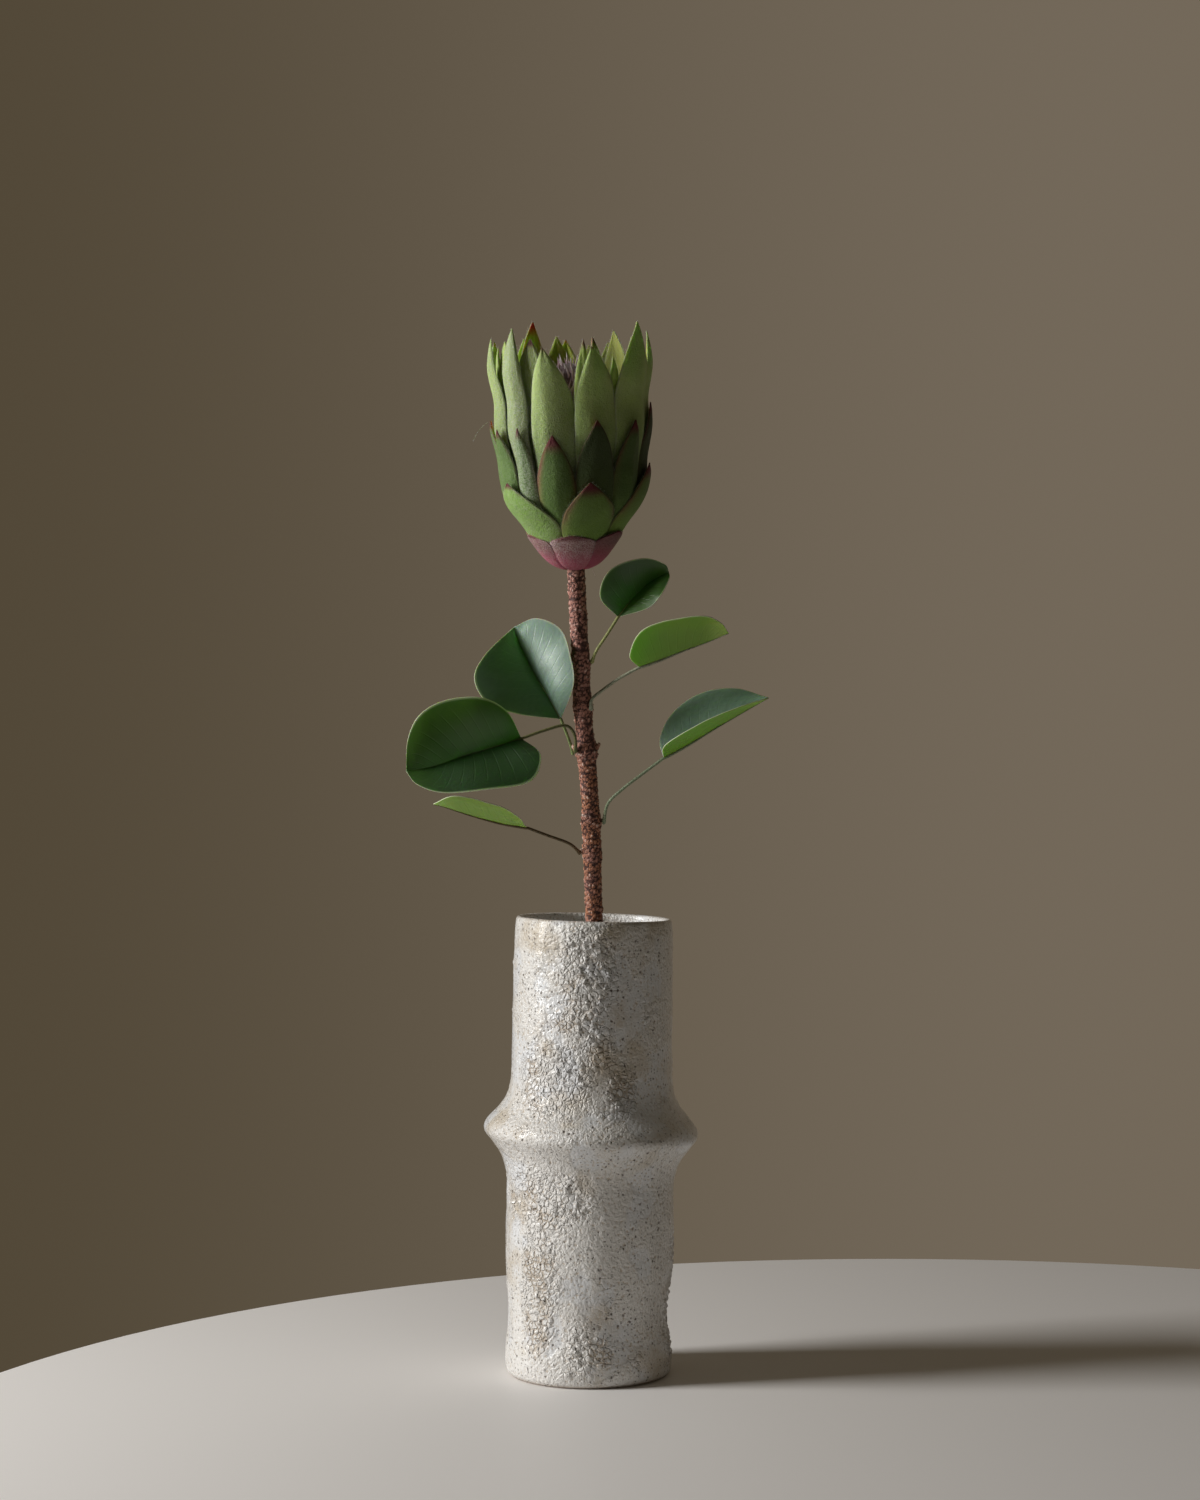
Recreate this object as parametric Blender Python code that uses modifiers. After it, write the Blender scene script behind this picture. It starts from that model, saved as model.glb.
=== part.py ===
"""A protea flower standing in its stoneware vase.

Metres, +Z up. The origin is the middle of the vase's flat underside, and the flower is seen from -Y.
Every bract, leaf and larger piece is one closed solid, and touching pieces keep a gap of 0.3 mm.
"""

import math

import bmesh
import bpy
import numpy as np
from mathutils import Matrix, Vector

for leftover in list(bpy.data.objects):
    bpy.data.objects.remove(leftover)
PARTS = bpy.data.collections.new("protea_in_vase")
bpy.context.scene.collection.children.link(PARTS)

MM = 0.001
GAP = 0.3

# Vase, in millimetres: radius and height down the outer side, from the lip to the foot.
VASE_HEIGHT = 291.0
VASE_WALL_RADIUS = 46.0
VASE_FLOOR = 11.0
# The bore's round corner at the floor and its flared edge at the lip, as distances from the bore's wall.
FLOOR_CORNER = [(-9.0, 0.0), (-2.5, 2.5), (0.0, 9.0)]
LIP_FLARE = [(0.0, -2.5), (0.9, -0.5), (2.1, 0.0)]
BORE_RINGS = (95.0, 190.0)
VASE_FOOT_RADIUS = 50.0
VASE_OUTER = [
    (49.0, 290.5),
    (49.9, 288.5),
    (50.6, 281.0),
    (51.0, 262.0),
    (51.4, 232.0),
    (51.5, 206.0),
    (52.2, 186.0),
    (54.7, 176.0),
    (59.8, 168.0),
    (65.6, 161.5),
    (68.2, 157.0),
    (68.5, 154.0),
    (67.4, 151.2),
    (62.4, 145.0),
    (57.6, 138.0),
    (54.8, 130.0),
    (53.6, 121.0),
    (53.4, 98.0),
    (53.0, 70.0),
    (51.4, 54.0),
    (50.3, 42.0),
    (50.7, 30.0),
    (52.4, 18.0),
    (53.0, 10.0),
    (52.4, 3.5),
]
VASE_STEPS = 40
# How far the turned shape leans and tips to the right, at heights up the vase.
VASE_LEAN = [(0.0, 0.0), (154.0, 1.3), (291.0, 3.2)]
VASE_TIP = [(0.0, 0.0), (60.0, 0.0), (154.0, 0.042), (291.0, 0.026)]
VASE_OVAL = 0.004
VASE_OVAL_TWIST = 60.0

# Stem, in millimetres: its centre line, and the heights of its swollen leaf nodes.
STEM_RADIUS = 5.6
STEM_FOOT_SPREAD = 1.3
RIM_POINT = (3.6, -39.9, 291.0)
HEAD_BASE = (-7.6, -89.0, 509.5)
STEM_LINE = [
    (17.8, 22.9, VASE_FLOOR + GAP + STEM_FOOT_SPREAD),
    (10.6, -8.9, 153.0),
    RIM_POINT,
    (2.1, -50.0, 336.0),
    (0.8, -57.0, 367.0),
    (-1.6, -64.0, 399.0),
    (-3.9, -71.0, 430.0),
    (-5.4, -78.5, 463.0),
    HEAD_BASE,
]
STEM_NODES = [(334.0, 0.14), (353.0, 0.16), (398.0, 0.30), (426.0, 0.14), (452.0, 0.12)]
STEM_NODE_HALF = 6.0
STEM_RING_SPACING = 2.4
STEM_RING_SIDES = (-5, 0, 5)

# Head, in millimetres, in its own frame: Z up its axis, azimuth from the front, positive to the right.
HEAD_LEAN_FORWARD = math.radians(12.0)
HEAD_LEAN_LEFT = math.radians(2.0)
HEAD_OUTLINE = [
    (6.0, -1.0),
    (15.8, 3.0),
    (25.3, 10.5),
    (34.3, 21.0),
    (43.0, 34.0),
    (47.6, 46.0),
    (50.2, 60.0),
    (50.8, 80.0),
    (50.6, 100.0),
    (50.2, 115.0),
    (49.0, 130.0),
    (46.0, 150.0),
]
LAYER = 4.0
FLARE = 26.0
BRACT_THICKNESS = 1.2
BRACT_CUP = 1.6
HEAD_RADIUS = 50.0
SIDE_GAP = 0.9
TIP_WIDTH = 0.04
FOOT_SHARE = 1 / 3
RING_CROWDING = 1.15
SEAT = 0.95

# Each bract: azimuth of its tip, of its left edge and of its right edge in degrees, height of its tip.
BASE_BRACTS = [
    (-3, -33, 27, 21),
    (57, 27, 87, 20),
    (117, 87, 147, 21),
    (177, 147, 207, 20),
    (237, 207, 267, 22),
    (297, 267, 327, 20),
]
LOWER_BRACTS = [
    (-56, -88, -14, 55),
    (13, -14, 46, 56),
    (75, 46, 105, 63),
    (135, 105, 165, 54),
    (195, 165, 224, 57),
    (248, 224, 272, 53),
]
MIDDLE_BRACTS = [
    (-64, -83, -50, 87),
    (-40, -50, -31, 89),
    (-13, -31, 3, 85),
    (19, 3, 36, 93),
    (52, 36, 67, 91),
    (81, 67, 97, 99),
    (112, 97, 127, 90),
    (142, 127, 157, 84),
    (172, 157, 187, 88),
    (202, 187, 217, 91),
    (232, 217, 247, 86),
    (262, 247, 277, 90),
]
OUTER_PETAL_BRACTS = [
    (-73, -93, -61, 140),
    (-44, -61, -30, 147),
    (-18, -30, 4, 136),
    (17, 4, 39, 136),
    (64, 39, 76, 148),
    (86, 76, 103, 141),
    (118, 103, 134, 137),
    (150, 134, 166, 132),
    (182, 166, 198, 134),
    (214, 198, 231, 136),
    (248, 231, 267, 136),
]
INNER_PETAL_BRACTS = [
    (-94, -109, -79, 134),
    (-64, -79, -49, 139),
    (-32, -49, -17, 141),
    (13, 5, 17, 140),
    (21, 17, 32, 141),
    (38, 32, 48, 131),
    (66, 48, 85, 139),
    (103, 85, 120, 136),
    (137, 120, 150, 140),
    (163, 150, 175, 131),
    (190, 175, 201, 137),
    (212, 201, 226, 147),
    (240, 226, 251, 134),
]
# Each row: name, bracts, length of the taper to the tip, width at the base, segments up and across.
ROWS = [
    ("base_bract", BASE_BRACTS, 17.0, 0.92, 4, 6),
    ("lower_bract", LOWER_BRACTS, 44.0, 0.95, 6, 6),
    ("middle_bract", MIDDLE_BRACTS, 42.0, 0.95, 8, 4),
    ("outer_petal_bract", OUTER_PETAL_BRACTS, 46.0, 0.95, 8, 4),
    ("inner_petal_bract", INNER_PETAL_BRACTS, 46.0, 0.95, 8, 4),
]
TIP_TAPER = 2.1
RECEPTACLE = [(7.0, 33.0), (10.5, 28.0), (12.0, 20.0), (11.0, 11.0), (9.4, 4.0), (7.8, GAP)]
FLORETS = [
    (10.0, 126.5),
    (19.0, 121.5),
    (26.0, 112.0),
    (28.5, 100.0),
    (27.0, 83.0),
    (23.5, 64.0),
    (17.0, 46.0),
    (9.0, 35.5),
    (6.0, 33.0 + GAP),
]
FLORETS_TOP = 128.5
HEAD_STEPS = 24

# Leaves, in millimetres: where the stalk leaves the stem (height and azimuth), the stalk's way to the blade,
# then the blade's midrib and its left and right edges, each from the blade's base to its tip.
STALK_WIDTH = 1.9
STALK_THICKNESS = 1.7
BLADE_THICKNESS = 0.8
STALK_STEPS = 5
STALK_SEAT = 1.0
STALK_START = 2.5
RIB_HALF_WIDTH = 0.35
BLADE_STEPS = 9
LEAVES = {
    "leaf_left_upper": {
        "node": (396, -105),
        "stalk": [(-12, -66, 404), (-17, -72, 417)],
        "rib": [(-25, -71, 431), (-35, -68, 448), (-43, -65, 464), (-46, -66, 474)],
        "left": [(-43, -78, 420), (-62, -81, 427), (-70, -80, 442), (-63, -77, 457), (-46, -66, 474)],
        "right": [(-9, -86, 438), (-11, -85, 456), (-17, -79, 472), (-32, -72, 479), (-46, -66, 474)],
    },
    "leaf_left_large": {
        "node": (397, -50),
        "stalk": [(-8.5, -74, 407), (-14, -77, 413), (-27, -79, 410), (-41, -80, 405)],
        "rib": [(-57, -82, 400), (-77, -84, 394), (-92, -87, 387), (-107, -90, 380)],
        "left": [(-50, -90, 422), (-66, -94, 430), (-94, -93, 426), (-112, -91, 400), (-107, -90, 380)],
        "right": [(-29, -92, 395), (-35, -98, 379), (-62, -101, 375), (-89, -98, 373), (-107, -90, 380)],
    },
    "leaf_left_lower": {
        "node": (334, -85),
        "stalk": [(-12, -58, 340), (-25, -62, 345), (-38, -66, 350)],
        "rib": [(-55, -68, 353), (-73, -71, 358), (-88, -75, 363), (-95, -78, 365)],
        "left": [(-44, -80, 358), (-58, -88, 365), (-81, -90, 370), (-95, -78, 365)],
        "right": [(-45, -54, 353), (-60, -50, 360), (-83, -54, 367), (-95, -78, 365)],
    },
    "leaf_right_upper": {
        "node": (452, 65),
        "stalk": [(5, -83, 459), (11, -85, 468), (18, -87, 479)],
        "rib": [(25, -87, 488), (34, -86, 497), (42, -87, 503), (49, -91, 506)],
        "left": [(7, -95, 491), (13, -99, 507), (32, -99, 514), (46, -94, 511), (49, -91, 506)],
        "right": [(36, -95, 484), (44, -98, 492), (49, -95, 502), (49, -91, 506)],
    },
    "leaf_right_middle": {
        "node": (424, 75),
        "stalk": [(6, -76, 431), (18, -80, 439), (31, -84, 448)],
        "rib": [(44, -85, 453), (59, -87, 459), (73, -90, 464), (85, -94, 469)],
        "left": [(25, -94, 456), (35, -101, 472), (67, -104, 479), (80, -100, 475), (85, -94, 469)],
        "right": [(33, -74, 458), (43, -67, 468), (67, -68, 475), (79, -80, 473), (85, -94, 469)],
    },
    "leaf_right_lower": {
        "node": (353, 80),
        "stalk": [(12, -64, 365), (21, -69, 374), (34, -72, 384), (46, -75, 393)],
        "rib": [(59, -76, 400), (77, -77, 411), (96, -79, 422), (110, -82, 430)],
        "left": [(46, -84, 400), (57, -91, 408), (76, -93, 418), (94, -90, 425), (110, -82, 430)],
        "right": [(44, -68, 405), (52, -62, 421), (69, -60, 433), (90, -65, 436), (110, -82, 430)],
    },
}


def smooth(points, steps=14):
    """Points read off a Catmull-Rom curve through the given ones."""
    given = np.array(points, float)
    ends = np.vstack([2 * given[0] - given[1], given, 2 * given[-1] - given[-2]])
    found = []
    for a, b, c, d in zip(ends, ends[1:], ends[2:], ends[3:]):
        for t in np.linspace(0, 1, steps, endpoint=False):
            bend = (2 * a - 5 * b + 4 * c - d) * t**2 + (3 * b - a - 3 * c + d) * t**3
            found.append(0.5 * (2 * b + (c - a) * t + bend))
    found.append(given[-1])
    return np.array(found)


def lengths(curve):
    """Length along a sampled curve, at each of its points."""
    return np.concatenate([[0.0], np.cumsum(np.linalg.norm(np.diff(curve, axis=0), axis=1))])


def along(curve, fraction):
    """The point at a fraction of a sampled curve's length."""
    run = lengths(curve)
    return np.array([np.interp(fraction * run[-1], run, values) for values in curve.T])


def ease(x):
    """Smooth step from 0 to 1."""
    x = min(max(x, 0.0), 1.0)
    return x * x * (3 - 2 * x)


def material(name, colour, roughness):
    """A Principled material of one colour."""
    found = bpy.data.materials.new(name)
    found.use_nodes = True
    shader = found.node_tree.nodes["Principled BSDF"]
    shader.inputs["Base Color"].default_value = (*colour, 1.0)
    shader.inputs["Roughness"].default_value = roughness
    return found


def add(name, mesh, look, parent=None):
    """A mesh as a named object of the model's collection."""
    piece = bpy.data.objects.new(name, mesh)
    piece.data.materials.append(look)
    PARTS.objects.link(piece)
    piece.parent = parent
    return piece


def solidify(piece, thickness, offset):
    """Gives an open surface its thickness."""
    shell = piece.modifiers.new("thickness", "SOLIDIFY")
    shell.thickness = thickness * MM
    shell.offset = offset
    return shell


def finished(piece):
    """The mesh of an object with its modifiers applied; the object itself is removed."""
    bpy.context.view_layer.update()
    graph = bpy.context.evaluated_depsgraph_get()
    mesh = bpy.data.meshes.new_from_object(piece.evaluated_get(graph))
    bpy.data.objects.remove(piece)
    return mesh


def turned(name, profile, steps):
    """The mesh of a closed profile turned about Z."""
    shape = bmesh.new()
    verts = [shape.verts.new((radius * MM, 0.0, height * MM)) for radius, height in profile]
    for first, second in zip(verts, verts[1:]):
        shape.edges.new((first, second))
    mesh = bpy.data.meshes.new(name)
    shape.to_mesh(mesh)
    shape.free()
    piece = bpy.data.objects.new(name + "_profile", mesh)
    PARTS.objects.link(piece)
    screw = piece.modifiers.new("turn", "SCREW")
    screw.steps = steps
    screw.render_steps = steps
    screw.use_merge_vertices = True
    screw.merge_threshold = 0.00001
    return finished(piece)


def make_vase():
    """Turned stoneware: outer side, thick floor and a straight bore, then the lean of a thrown pot."""
    corner = [(VASE_WALL_RADIUS + out, VASE_FLOOR + up) for out, up in FLOOR_CORNER]
    wall = [(VASE_WALL_RADIUS, height) for height in BORE_RINGS]
    lip = [(VASE_WALL_RADIUS + out, VASE_HEIGHT + up) for out, up in LIP_FLARE]
    foot = [(VASE_FOOT_RADIUS, 0.0), (0.0, 0.0)]
    mesh = turned("vase", [(0.0, VASE_FLOOR), *corner, *wall, *lip, *VASE_OUTER, *foot], VASE_STEPS)
    lean_at, lean = zip(*VASE_LEAN)
    tip_at, tip = zip(*VASE_TIP)
    for vertex in mesh.vertices:
        x, y, z = (value / MM for value in vertex.co)
        outwards = math.hypot(x, y) / VASE_FOOT_RADIUS
        oval = 1 + VASE_OVAL * math.cos(2 * math.atan2(y, x) + z / VASE_OVAL_TWIST) * min(z / 40.0, 1.0)
        vertex.co.x = (x * oval + np.interp(z, lean_at, lean)) * MM
        vertex.co.y = y * oval * MM
        vertex.co.z = (z - np.interp(z, tip_at, tip) * x * min(outwards, 1.0)) * MM
    piece = add("vase", mesh, material("glazed_stoneware", (0.62, 0.58, 0.51), 0.35))
    piece.data.shade_smooth()
    return piece


def stem_point(height):
    """The stem's centre at a height in millimetres."""
    line = smooth(STEM_LINE)
    return np.array([np.interp(height, line[:, 2], values) for values in line.T])


def stem_swell(height):
    """How much thicker the stem is at a height: its leaf nodes and its foot."""
    swell = 1.0
    for node, extra in STEM_NODES:
        swell += extra * math.exp(-(((height - node) / STEM_NODE_HALF) ** 2))
    return swell


def make_stem():
    """A round woody rod with filled ends, thicker at each leaf node."""
    line = smooth(STEM_LINE, 5)
    rings = {node + side for node, _ in STEM_NODES for side in STEM_RING_SIDES}
    heights = sorted({*line[:, 2], *rings})
    kept = [heights[0]]
    for height in heights[1:]:
        if height - kept[-1] > STEM_RING_SPACING:
            kept.append(height)
    kept[-1] = HEAD_BASE[2]
    curve = bpy.data.curves.new("stem", "CURVE")
    curve.dimensions = "3D"
    curve.bevel_depth = STEM_RADIUS * MM
    curve.bevel_resolution = 3
    curve.use_fill_caps = True
    spline = curve.splines.new("POLY")
    spline.points.add(len(kept) - 1)
    for point, height in zip(spline.points, kept):
        point.co = (*(stem_point(height) * MM), 1.0)
        point.radius = stem_swell(height)
    piece = bpy.data.objects.new("stem_rod", curve)
    PARTS.objects.link(piece)
    mesh = finished(piece)
    shape = bmesh.new()
    shape.from_mesh(mesh)
    bmesh.ops.remove_doubles(shape, verts=shape.verts, dist=0.00001)
    bmesh.ops.recalc_face_normals(shape, faces=shape.faces)
    shape.to_mesh(mesh)
    shape.free()
    add("stem", mesh, material("bark", (0.16, 0.07, 0.045), 0.8))


def head_frame():
    """An empty at the head's base, leaning forward and to the left with the stem."""
    frame = bpy.data.objects.new("head_frame", None)
    PARTS.objects.link(frame)
    frame.matrix_world = (
        Matrix.Translation(Vector(HEAD_BASE) * MM)
        @ Matrix.Rotation(-HEAD_LEAN_LEFT, 4, "Y")
        @ Matrix.Rotation(HEAD_LEAN_FORWARD, 4, "X")
    )
    return frame


def row_depth(row, height):
    """How far inside the head's outline a row lies: one layer for each row that still covers it."""
    depth = 0.0
    for _, bracts, *_ in ROWS[:row]:
        top = max(bract[-1] for bract in bracts)
        depth += LAYER * ease((top + FLARE - height) / FLARE)
    return depth


def row_curve(row):
    """The centre line of a row's bracts, as radius and height, with its outward normals."""
    outline = smooth(HEAD_OUTLINE, 50)
    slope = np.gradient(outline, axis=0)
    slope /= np.linalg.norm(slope, axis=1)[:, None]
    normal = np.column_stack([slope[:, 1], -slope[:, 0]])
    depth = np.array([row_depth(row, height) for height in outline[:, 1]])
    line = outline - normal * depth[:, None]
    core = np.concatenate([np.linspace(a, b, 40) for a, b in zip(RECEPTACLE, RECEPTACLE[1:])])
    apart = np.linalg.norm(line[:, None] - core[None], axis=2).min(axis=1)
    first = int(np.flatnonzero(apart < SEAT)[-1]) + 1
    return line[first:], normal[first:]


def make_row(row, looks, frame):
    """One row of bracts: each a sheet bent round the head, narrowing to its tip."""
    name, bracts, taper, base_width, up, across = ROWS[row]
    line, normal = row_curve(row)
    run = lengths(line)
    for index, (azimuth, left, right, top) in enumerate(bracts):
        end = np.interp(top, line[:, 1], run)
        reach = max(azimuth - left, right - azimuth)
        shape = bmesh.new()
        bmesh.ops.create_grid(shape, x_segments=across, y_segments=up, size=1.0)
        for vertex in shape.verts:
            v = vertex.co.x
            u = ((vertex.co.y + 1) / 2) ** RING_CROWDING
            s = u * end
            radius, height = (np.interp(s, run, values) for values in line.T)
            out_r, out_z = (np.interp(s, run, values) for values in normal.T)
            width = 1 - (1 - min((end - s) / taper, 1.0)) ** TIP_TAPER
            width = max(width, TIP_WIDTH) * (base_width + (1 - base_width) * min(u / FOOT_SHARE, 1.0))
            spread = azimuth - left if v < 0 else right - azimuth
            clear = math.degrees(SIDE_GAP / 2 / radius)
            turn = v * width * (spread - clear)
            angle = math.radians(azimuth + turn)
            inset = BRACT_CUP * (turn / reach) ** 2 * radius / HEAD_RADIUS
            radius -= out_r * inset
            height -= out_z * inset
            point = (math.sin(angle) * radius, -math.cos(angle) * radius, height)
            vertex.co = Vector(point) * MM
        bmesh.ops.recalc_face_normals(shape, faces=shape.faces)
        mesh = bpy.data.meshes.new(f"{name}_{index + 1}")
        shape.to_mesh(mesh)
        shape.free()
        piece = add(mesh.name, mesh, looks[name], frame)
        solidify(piece, BRACT_THICKNESS, 0.0)
        piece.data.shade_smooth()


def make_core(frame):
    """The receptacle that carries the bracts, and the packed florets standing on it."""
    core = [(0.0, RECEPTACLE[0][1])] + RECEPTACLE + [(0.0, RECEPTACLE[-1][1])]
    add("receptacle", turned("receptacle", core, HEAD_STEPS), material("pith", (0.35, 0.32, 0.16), 0.7), frame)
    mass = [(0.0, FLORETS_TOP)] + FLORETS + [(0.0, FLORETS[-1][1])]
    add("florets", turned("florets", mass, HEAD_STEPS), material("floret", (0.6, 0.45, 0.5), 0.8), frame)


def stem_side(height, azimuth):
    """A point just clear of the stem's surface, and the way straight out from the stem there."""
    angle = math.radians(azimuth)
    out = np.array([math.sin(angle), -math.cos(angle), 0.0])
    return stem_point(height) + out * (STEM_RADIUS * stem_swell(height) + STALK_SEAT), out


def make_leaf(name, leaf, look):
    """A stalk that widens into a folded blade: one strip bent along its stalk, midrib and edges."""
    foot, out = stem_side(*leaf["node"])
    stalk = smooth([foot, foot + STALK_START * out, *leaf["stalk"]])
    base = stalk[-1]
    rib, left, right = (smooth([base, *leaf[side]]) for side in ("rib", "left", "right"))
    across = along(right, 0.4) - along(left, 0.4)
    rows = STALK_STEPS + BLADE_STEPS
    shape = bmesh.new()
    bmesh.ops.create_grid(shape, x_segments=4, y_segments=rows, size=1.0)
    blade = []
    for vertex in shape.verts:
        v = vertex.co.x
        row = round((vertex.co.y + 1) / 2 * rows)
        t = max(row - STALK_STEPS, 0) / BLADE_STEPS
        line, place = (stalk, row / STALK_STEPS) if row < STALK_STEPS else (rib, t)
        ahead = along(line, min(place + 0.05, 1.0)) - along(line, max(place - 0.05, 0.0))
        side = across - ahead * (across @ ahead) / (ahead @ ahead)
        side /= np.linalg.norm(side)
        point = along(line, place) + side * v * max(STALK_WIDTH / 2 * (1 - t) ** 3, RIB_HALF_WIDTH)
        if t > 0:
            edge = along(left if v < 0 else right, t)
            point = point + abs(v) * (edge - along(rib, t))
            blade.append(vertex.index)
        vertex.co = Vector(point) * MM
    bmesh.ops.recalc_face_normals(shape, faces=shape.faces)
    mesh = bpy.data.meshes.new(name)
    shape.to_mesh(mesh)
    shape.free()
    piece = add(name, mesh, look)
    weight = piece.vertex_groups.new(name="thickness")
    weight.add(range(len(mesh.vertices)), 1.0, "REPLACE")
    weight.add(blade, BLADE_THICKNESS / STALK_THICKNESS, "REPLACE")
    solidify(piece, STALK_THICKNESS, 0.0).vertex_group = weight.name
    piece.data.shade_smooth()


def main():
    make_vase()
    make_stem()
    frame = head_frame()
    looks = {
        "base_bract": material("pink_felt_bract", (0.35, 0.08, 0.11), 0.75),
        "lower_bract": material("lower_green_bract", (0.14, 0.24, 0.05), 0.6),
        "middle_bract": material("middle_green_bract", (0.13, 0.25, 0.05), 0.6),
        "outer_petal_bract": material("pale_green_bract", (0.33, 0.48, 0.14), 0.6),
        "inner_petal_bract": material("yellow_green_bract", (0.40, 0.52, 0.12), 0.55),
    }
    for row in range(len(ROWS)):
        make_row(row, looks, frame)
    make_core(frame)
    green = material("waxy_leaf", (0.05, 0.13, 0.05), 0.4)
    for name, leaf in LEAVES.items():
        make_leaf(name, leaf, green)


main()
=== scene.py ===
"""The looks of a protea flower standing in its stoneware vase.

Sizes are in millimetres, times MM. The flower is seen from -Y, and azimuths are measured from there, towards
the right.
"""

import math

import bmesh
import bpy
import numpy as np
from mathutils import Matrix, Vector, noise


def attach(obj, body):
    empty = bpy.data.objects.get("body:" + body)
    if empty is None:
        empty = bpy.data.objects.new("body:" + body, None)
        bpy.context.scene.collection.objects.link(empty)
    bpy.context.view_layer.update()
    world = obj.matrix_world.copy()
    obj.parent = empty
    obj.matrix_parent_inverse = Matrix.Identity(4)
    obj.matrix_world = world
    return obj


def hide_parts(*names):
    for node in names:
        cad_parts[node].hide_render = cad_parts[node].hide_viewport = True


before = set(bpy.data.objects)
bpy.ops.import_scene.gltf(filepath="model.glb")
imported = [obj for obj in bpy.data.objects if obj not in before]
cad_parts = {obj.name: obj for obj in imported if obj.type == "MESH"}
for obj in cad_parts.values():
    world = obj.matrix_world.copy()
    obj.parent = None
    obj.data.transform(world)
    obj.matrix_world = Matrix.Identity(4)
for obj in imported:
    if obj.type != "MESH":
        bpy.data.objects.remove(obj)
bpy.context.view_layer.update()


# The studio: a pale round table top, one tall window to the left with a thin curtain over it, and the dim
# warm light of the room. The camera stands level in front of the flower.
MM = 0.001
CAMERA_PLACE = (7.0, -1824.0, 398.0)
CAMERA_LENS = 68.4
TABLE_CENTRE = (230.0, -250.0)
TABLE_RADIUS = 655.0
TABLE_COLOUR = (0.87, 0.85, 0.835)
WALL_LEFT = (0.082, 0.063, 0.038)
WALL_RIGHT = (0.172, 0.140, 0.102)
ROOM_SIDE = (0.050, 0.041, 0.028)
WINDOW_PLACE = (-1700.0, -290.0, 880.0)
WINDOW_SIZE = (500.0, 1400.0)
WINDOW_AIM = (0.0, -40.0, 300.0)
WINDOW_POWER = 41.0
WINDOW_COLOUR = (1.0, 0.985, 0.96)

scene = bpy.context.scene
scene.view_settings.view_transform = "Standard"
world = bpy.data.worlds.new("room")
world.use_nodes = True
scene.world = world

camera = bpy.data.objects.new("camera", bpy.data.cameras.new("camera"))
camera.location = Vector(CAMERA_PLACE) * MM
camera.rotation_euler = (math.pi / 2, 0.0, 0.0)
camera.data.lens = CAMERA_LENS
scene.collection.objects.link(camera)
scene.camera = camera

window = bpy.data.objects.new("window", bpy.data.lights.new("window", "AREA"))
window.data.shape = "RECTANGLE"
window.data.size = WINDOW_SIZE[0] * MM
window.data.size_y = WINDOW_SIZE[1] * MM
window.data.energy = WINDOW_POWER
window.data.color = WINDOW_COLOUR
window.location = Vector(WINDOW_PLACE) * MM
window.rotation_euler = (Vector(WINDOW_AIM) - Vector(WINDOW_PLACE)).to_track_quat("-Z", "Y").to_euler()
scene.collection.objects.link(window)


def plug(tree, socket, value):
    """Sets a socket to a value, or links another node's output to it."""
    if isinstance(value, bpy.types.NodeSocket):
        tree.links.new(value, socket)
    else:
        socket.default_value = (*value, 1.0) if socket.type == "RGBA" else value


def node(tree, kind, inputs=None, **settings):
    """A shader node. Each input is a value or another node's output."""
    made = tree.nodes.new("ShaderNode" + kind)
    for name, value in settings.items():
        setattr(made, name, value)
    for key, value in (inputs or {}).items():
        plug(tree, made.inputs[key], value)
    return made


def blended(tree, share, first, second, mode="MIX"):
    """A colour between two others."""
    return node(tree, "Mix", {0: share, 6: first, 7: second}, data_type="RGBA", blend_type=mode).outputs[2]


def ramp(tree, value, low, high, bottom=0.0, top=1.0):
    """A smooth change from bottom to top, as the value goes from low to high."""
    spread = {0: value, 1: low, 2: high, 3: bottom, 4: top}
    return node(tree, "MapRange", spread, interpolation_type="SMOOTHSTEP").outputs[0]


tree = world.node_tree
toward = node(tree, "SeparateXYZ", {0: node(tree, "TexCoord").outputs["Generated"]})
wall = blended(tree, ramp(tree, toward.outputs["X"], -0.25, 0.20), WALL_LEFT, WALL_RIGHT)
room = blended(tree, ramp(tree, toward.outputs["Y"], 0.10, 0.85), ROOM_SIDE, wall)
tree.links.new(room, tree.nodes["Background"].inputs["Color"])


def material(name):
    """A new material, with its node tree and its shader."""
    made = bpy.data.materials.new(name)
    made.use_nodes = True
    return made, made.node_tree, made.node_tree.nodes["Principled BSDF"]


def feed(tree, shader, **inputs):
    """Sets or links the shader's inputs, named with _ for each space."""
    for name, value in inputs.items():
        plug(tree, shader.inputs[name.replace("_", " ")], value)


table_top = bmesh.new()
bmesh.ops.create_circle(
    table_top,
    cap_ends=True,
    segments=128,
    radius=TABLE_RADIUS * MM,
    matrix=Matrix.Translation((TABLE_CENTRE[0] * MM, TABLE_CENTRE[1] * MM, 0.0)),
)
table_mesh = bpy.data.meshes.new("floor")
table_top.to_mesh(table_mesh)
table_top.free()
floor = bpy.data.objects.new("floor", table_mesh)
scene.collection.objects.link(floor)
look, tree, shader = material("pale_table")
feed(tree, shader, Base_Color=TABLE_COLOUR, Roughness=0.55)
table_mesh.materials.append(look)


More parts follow.
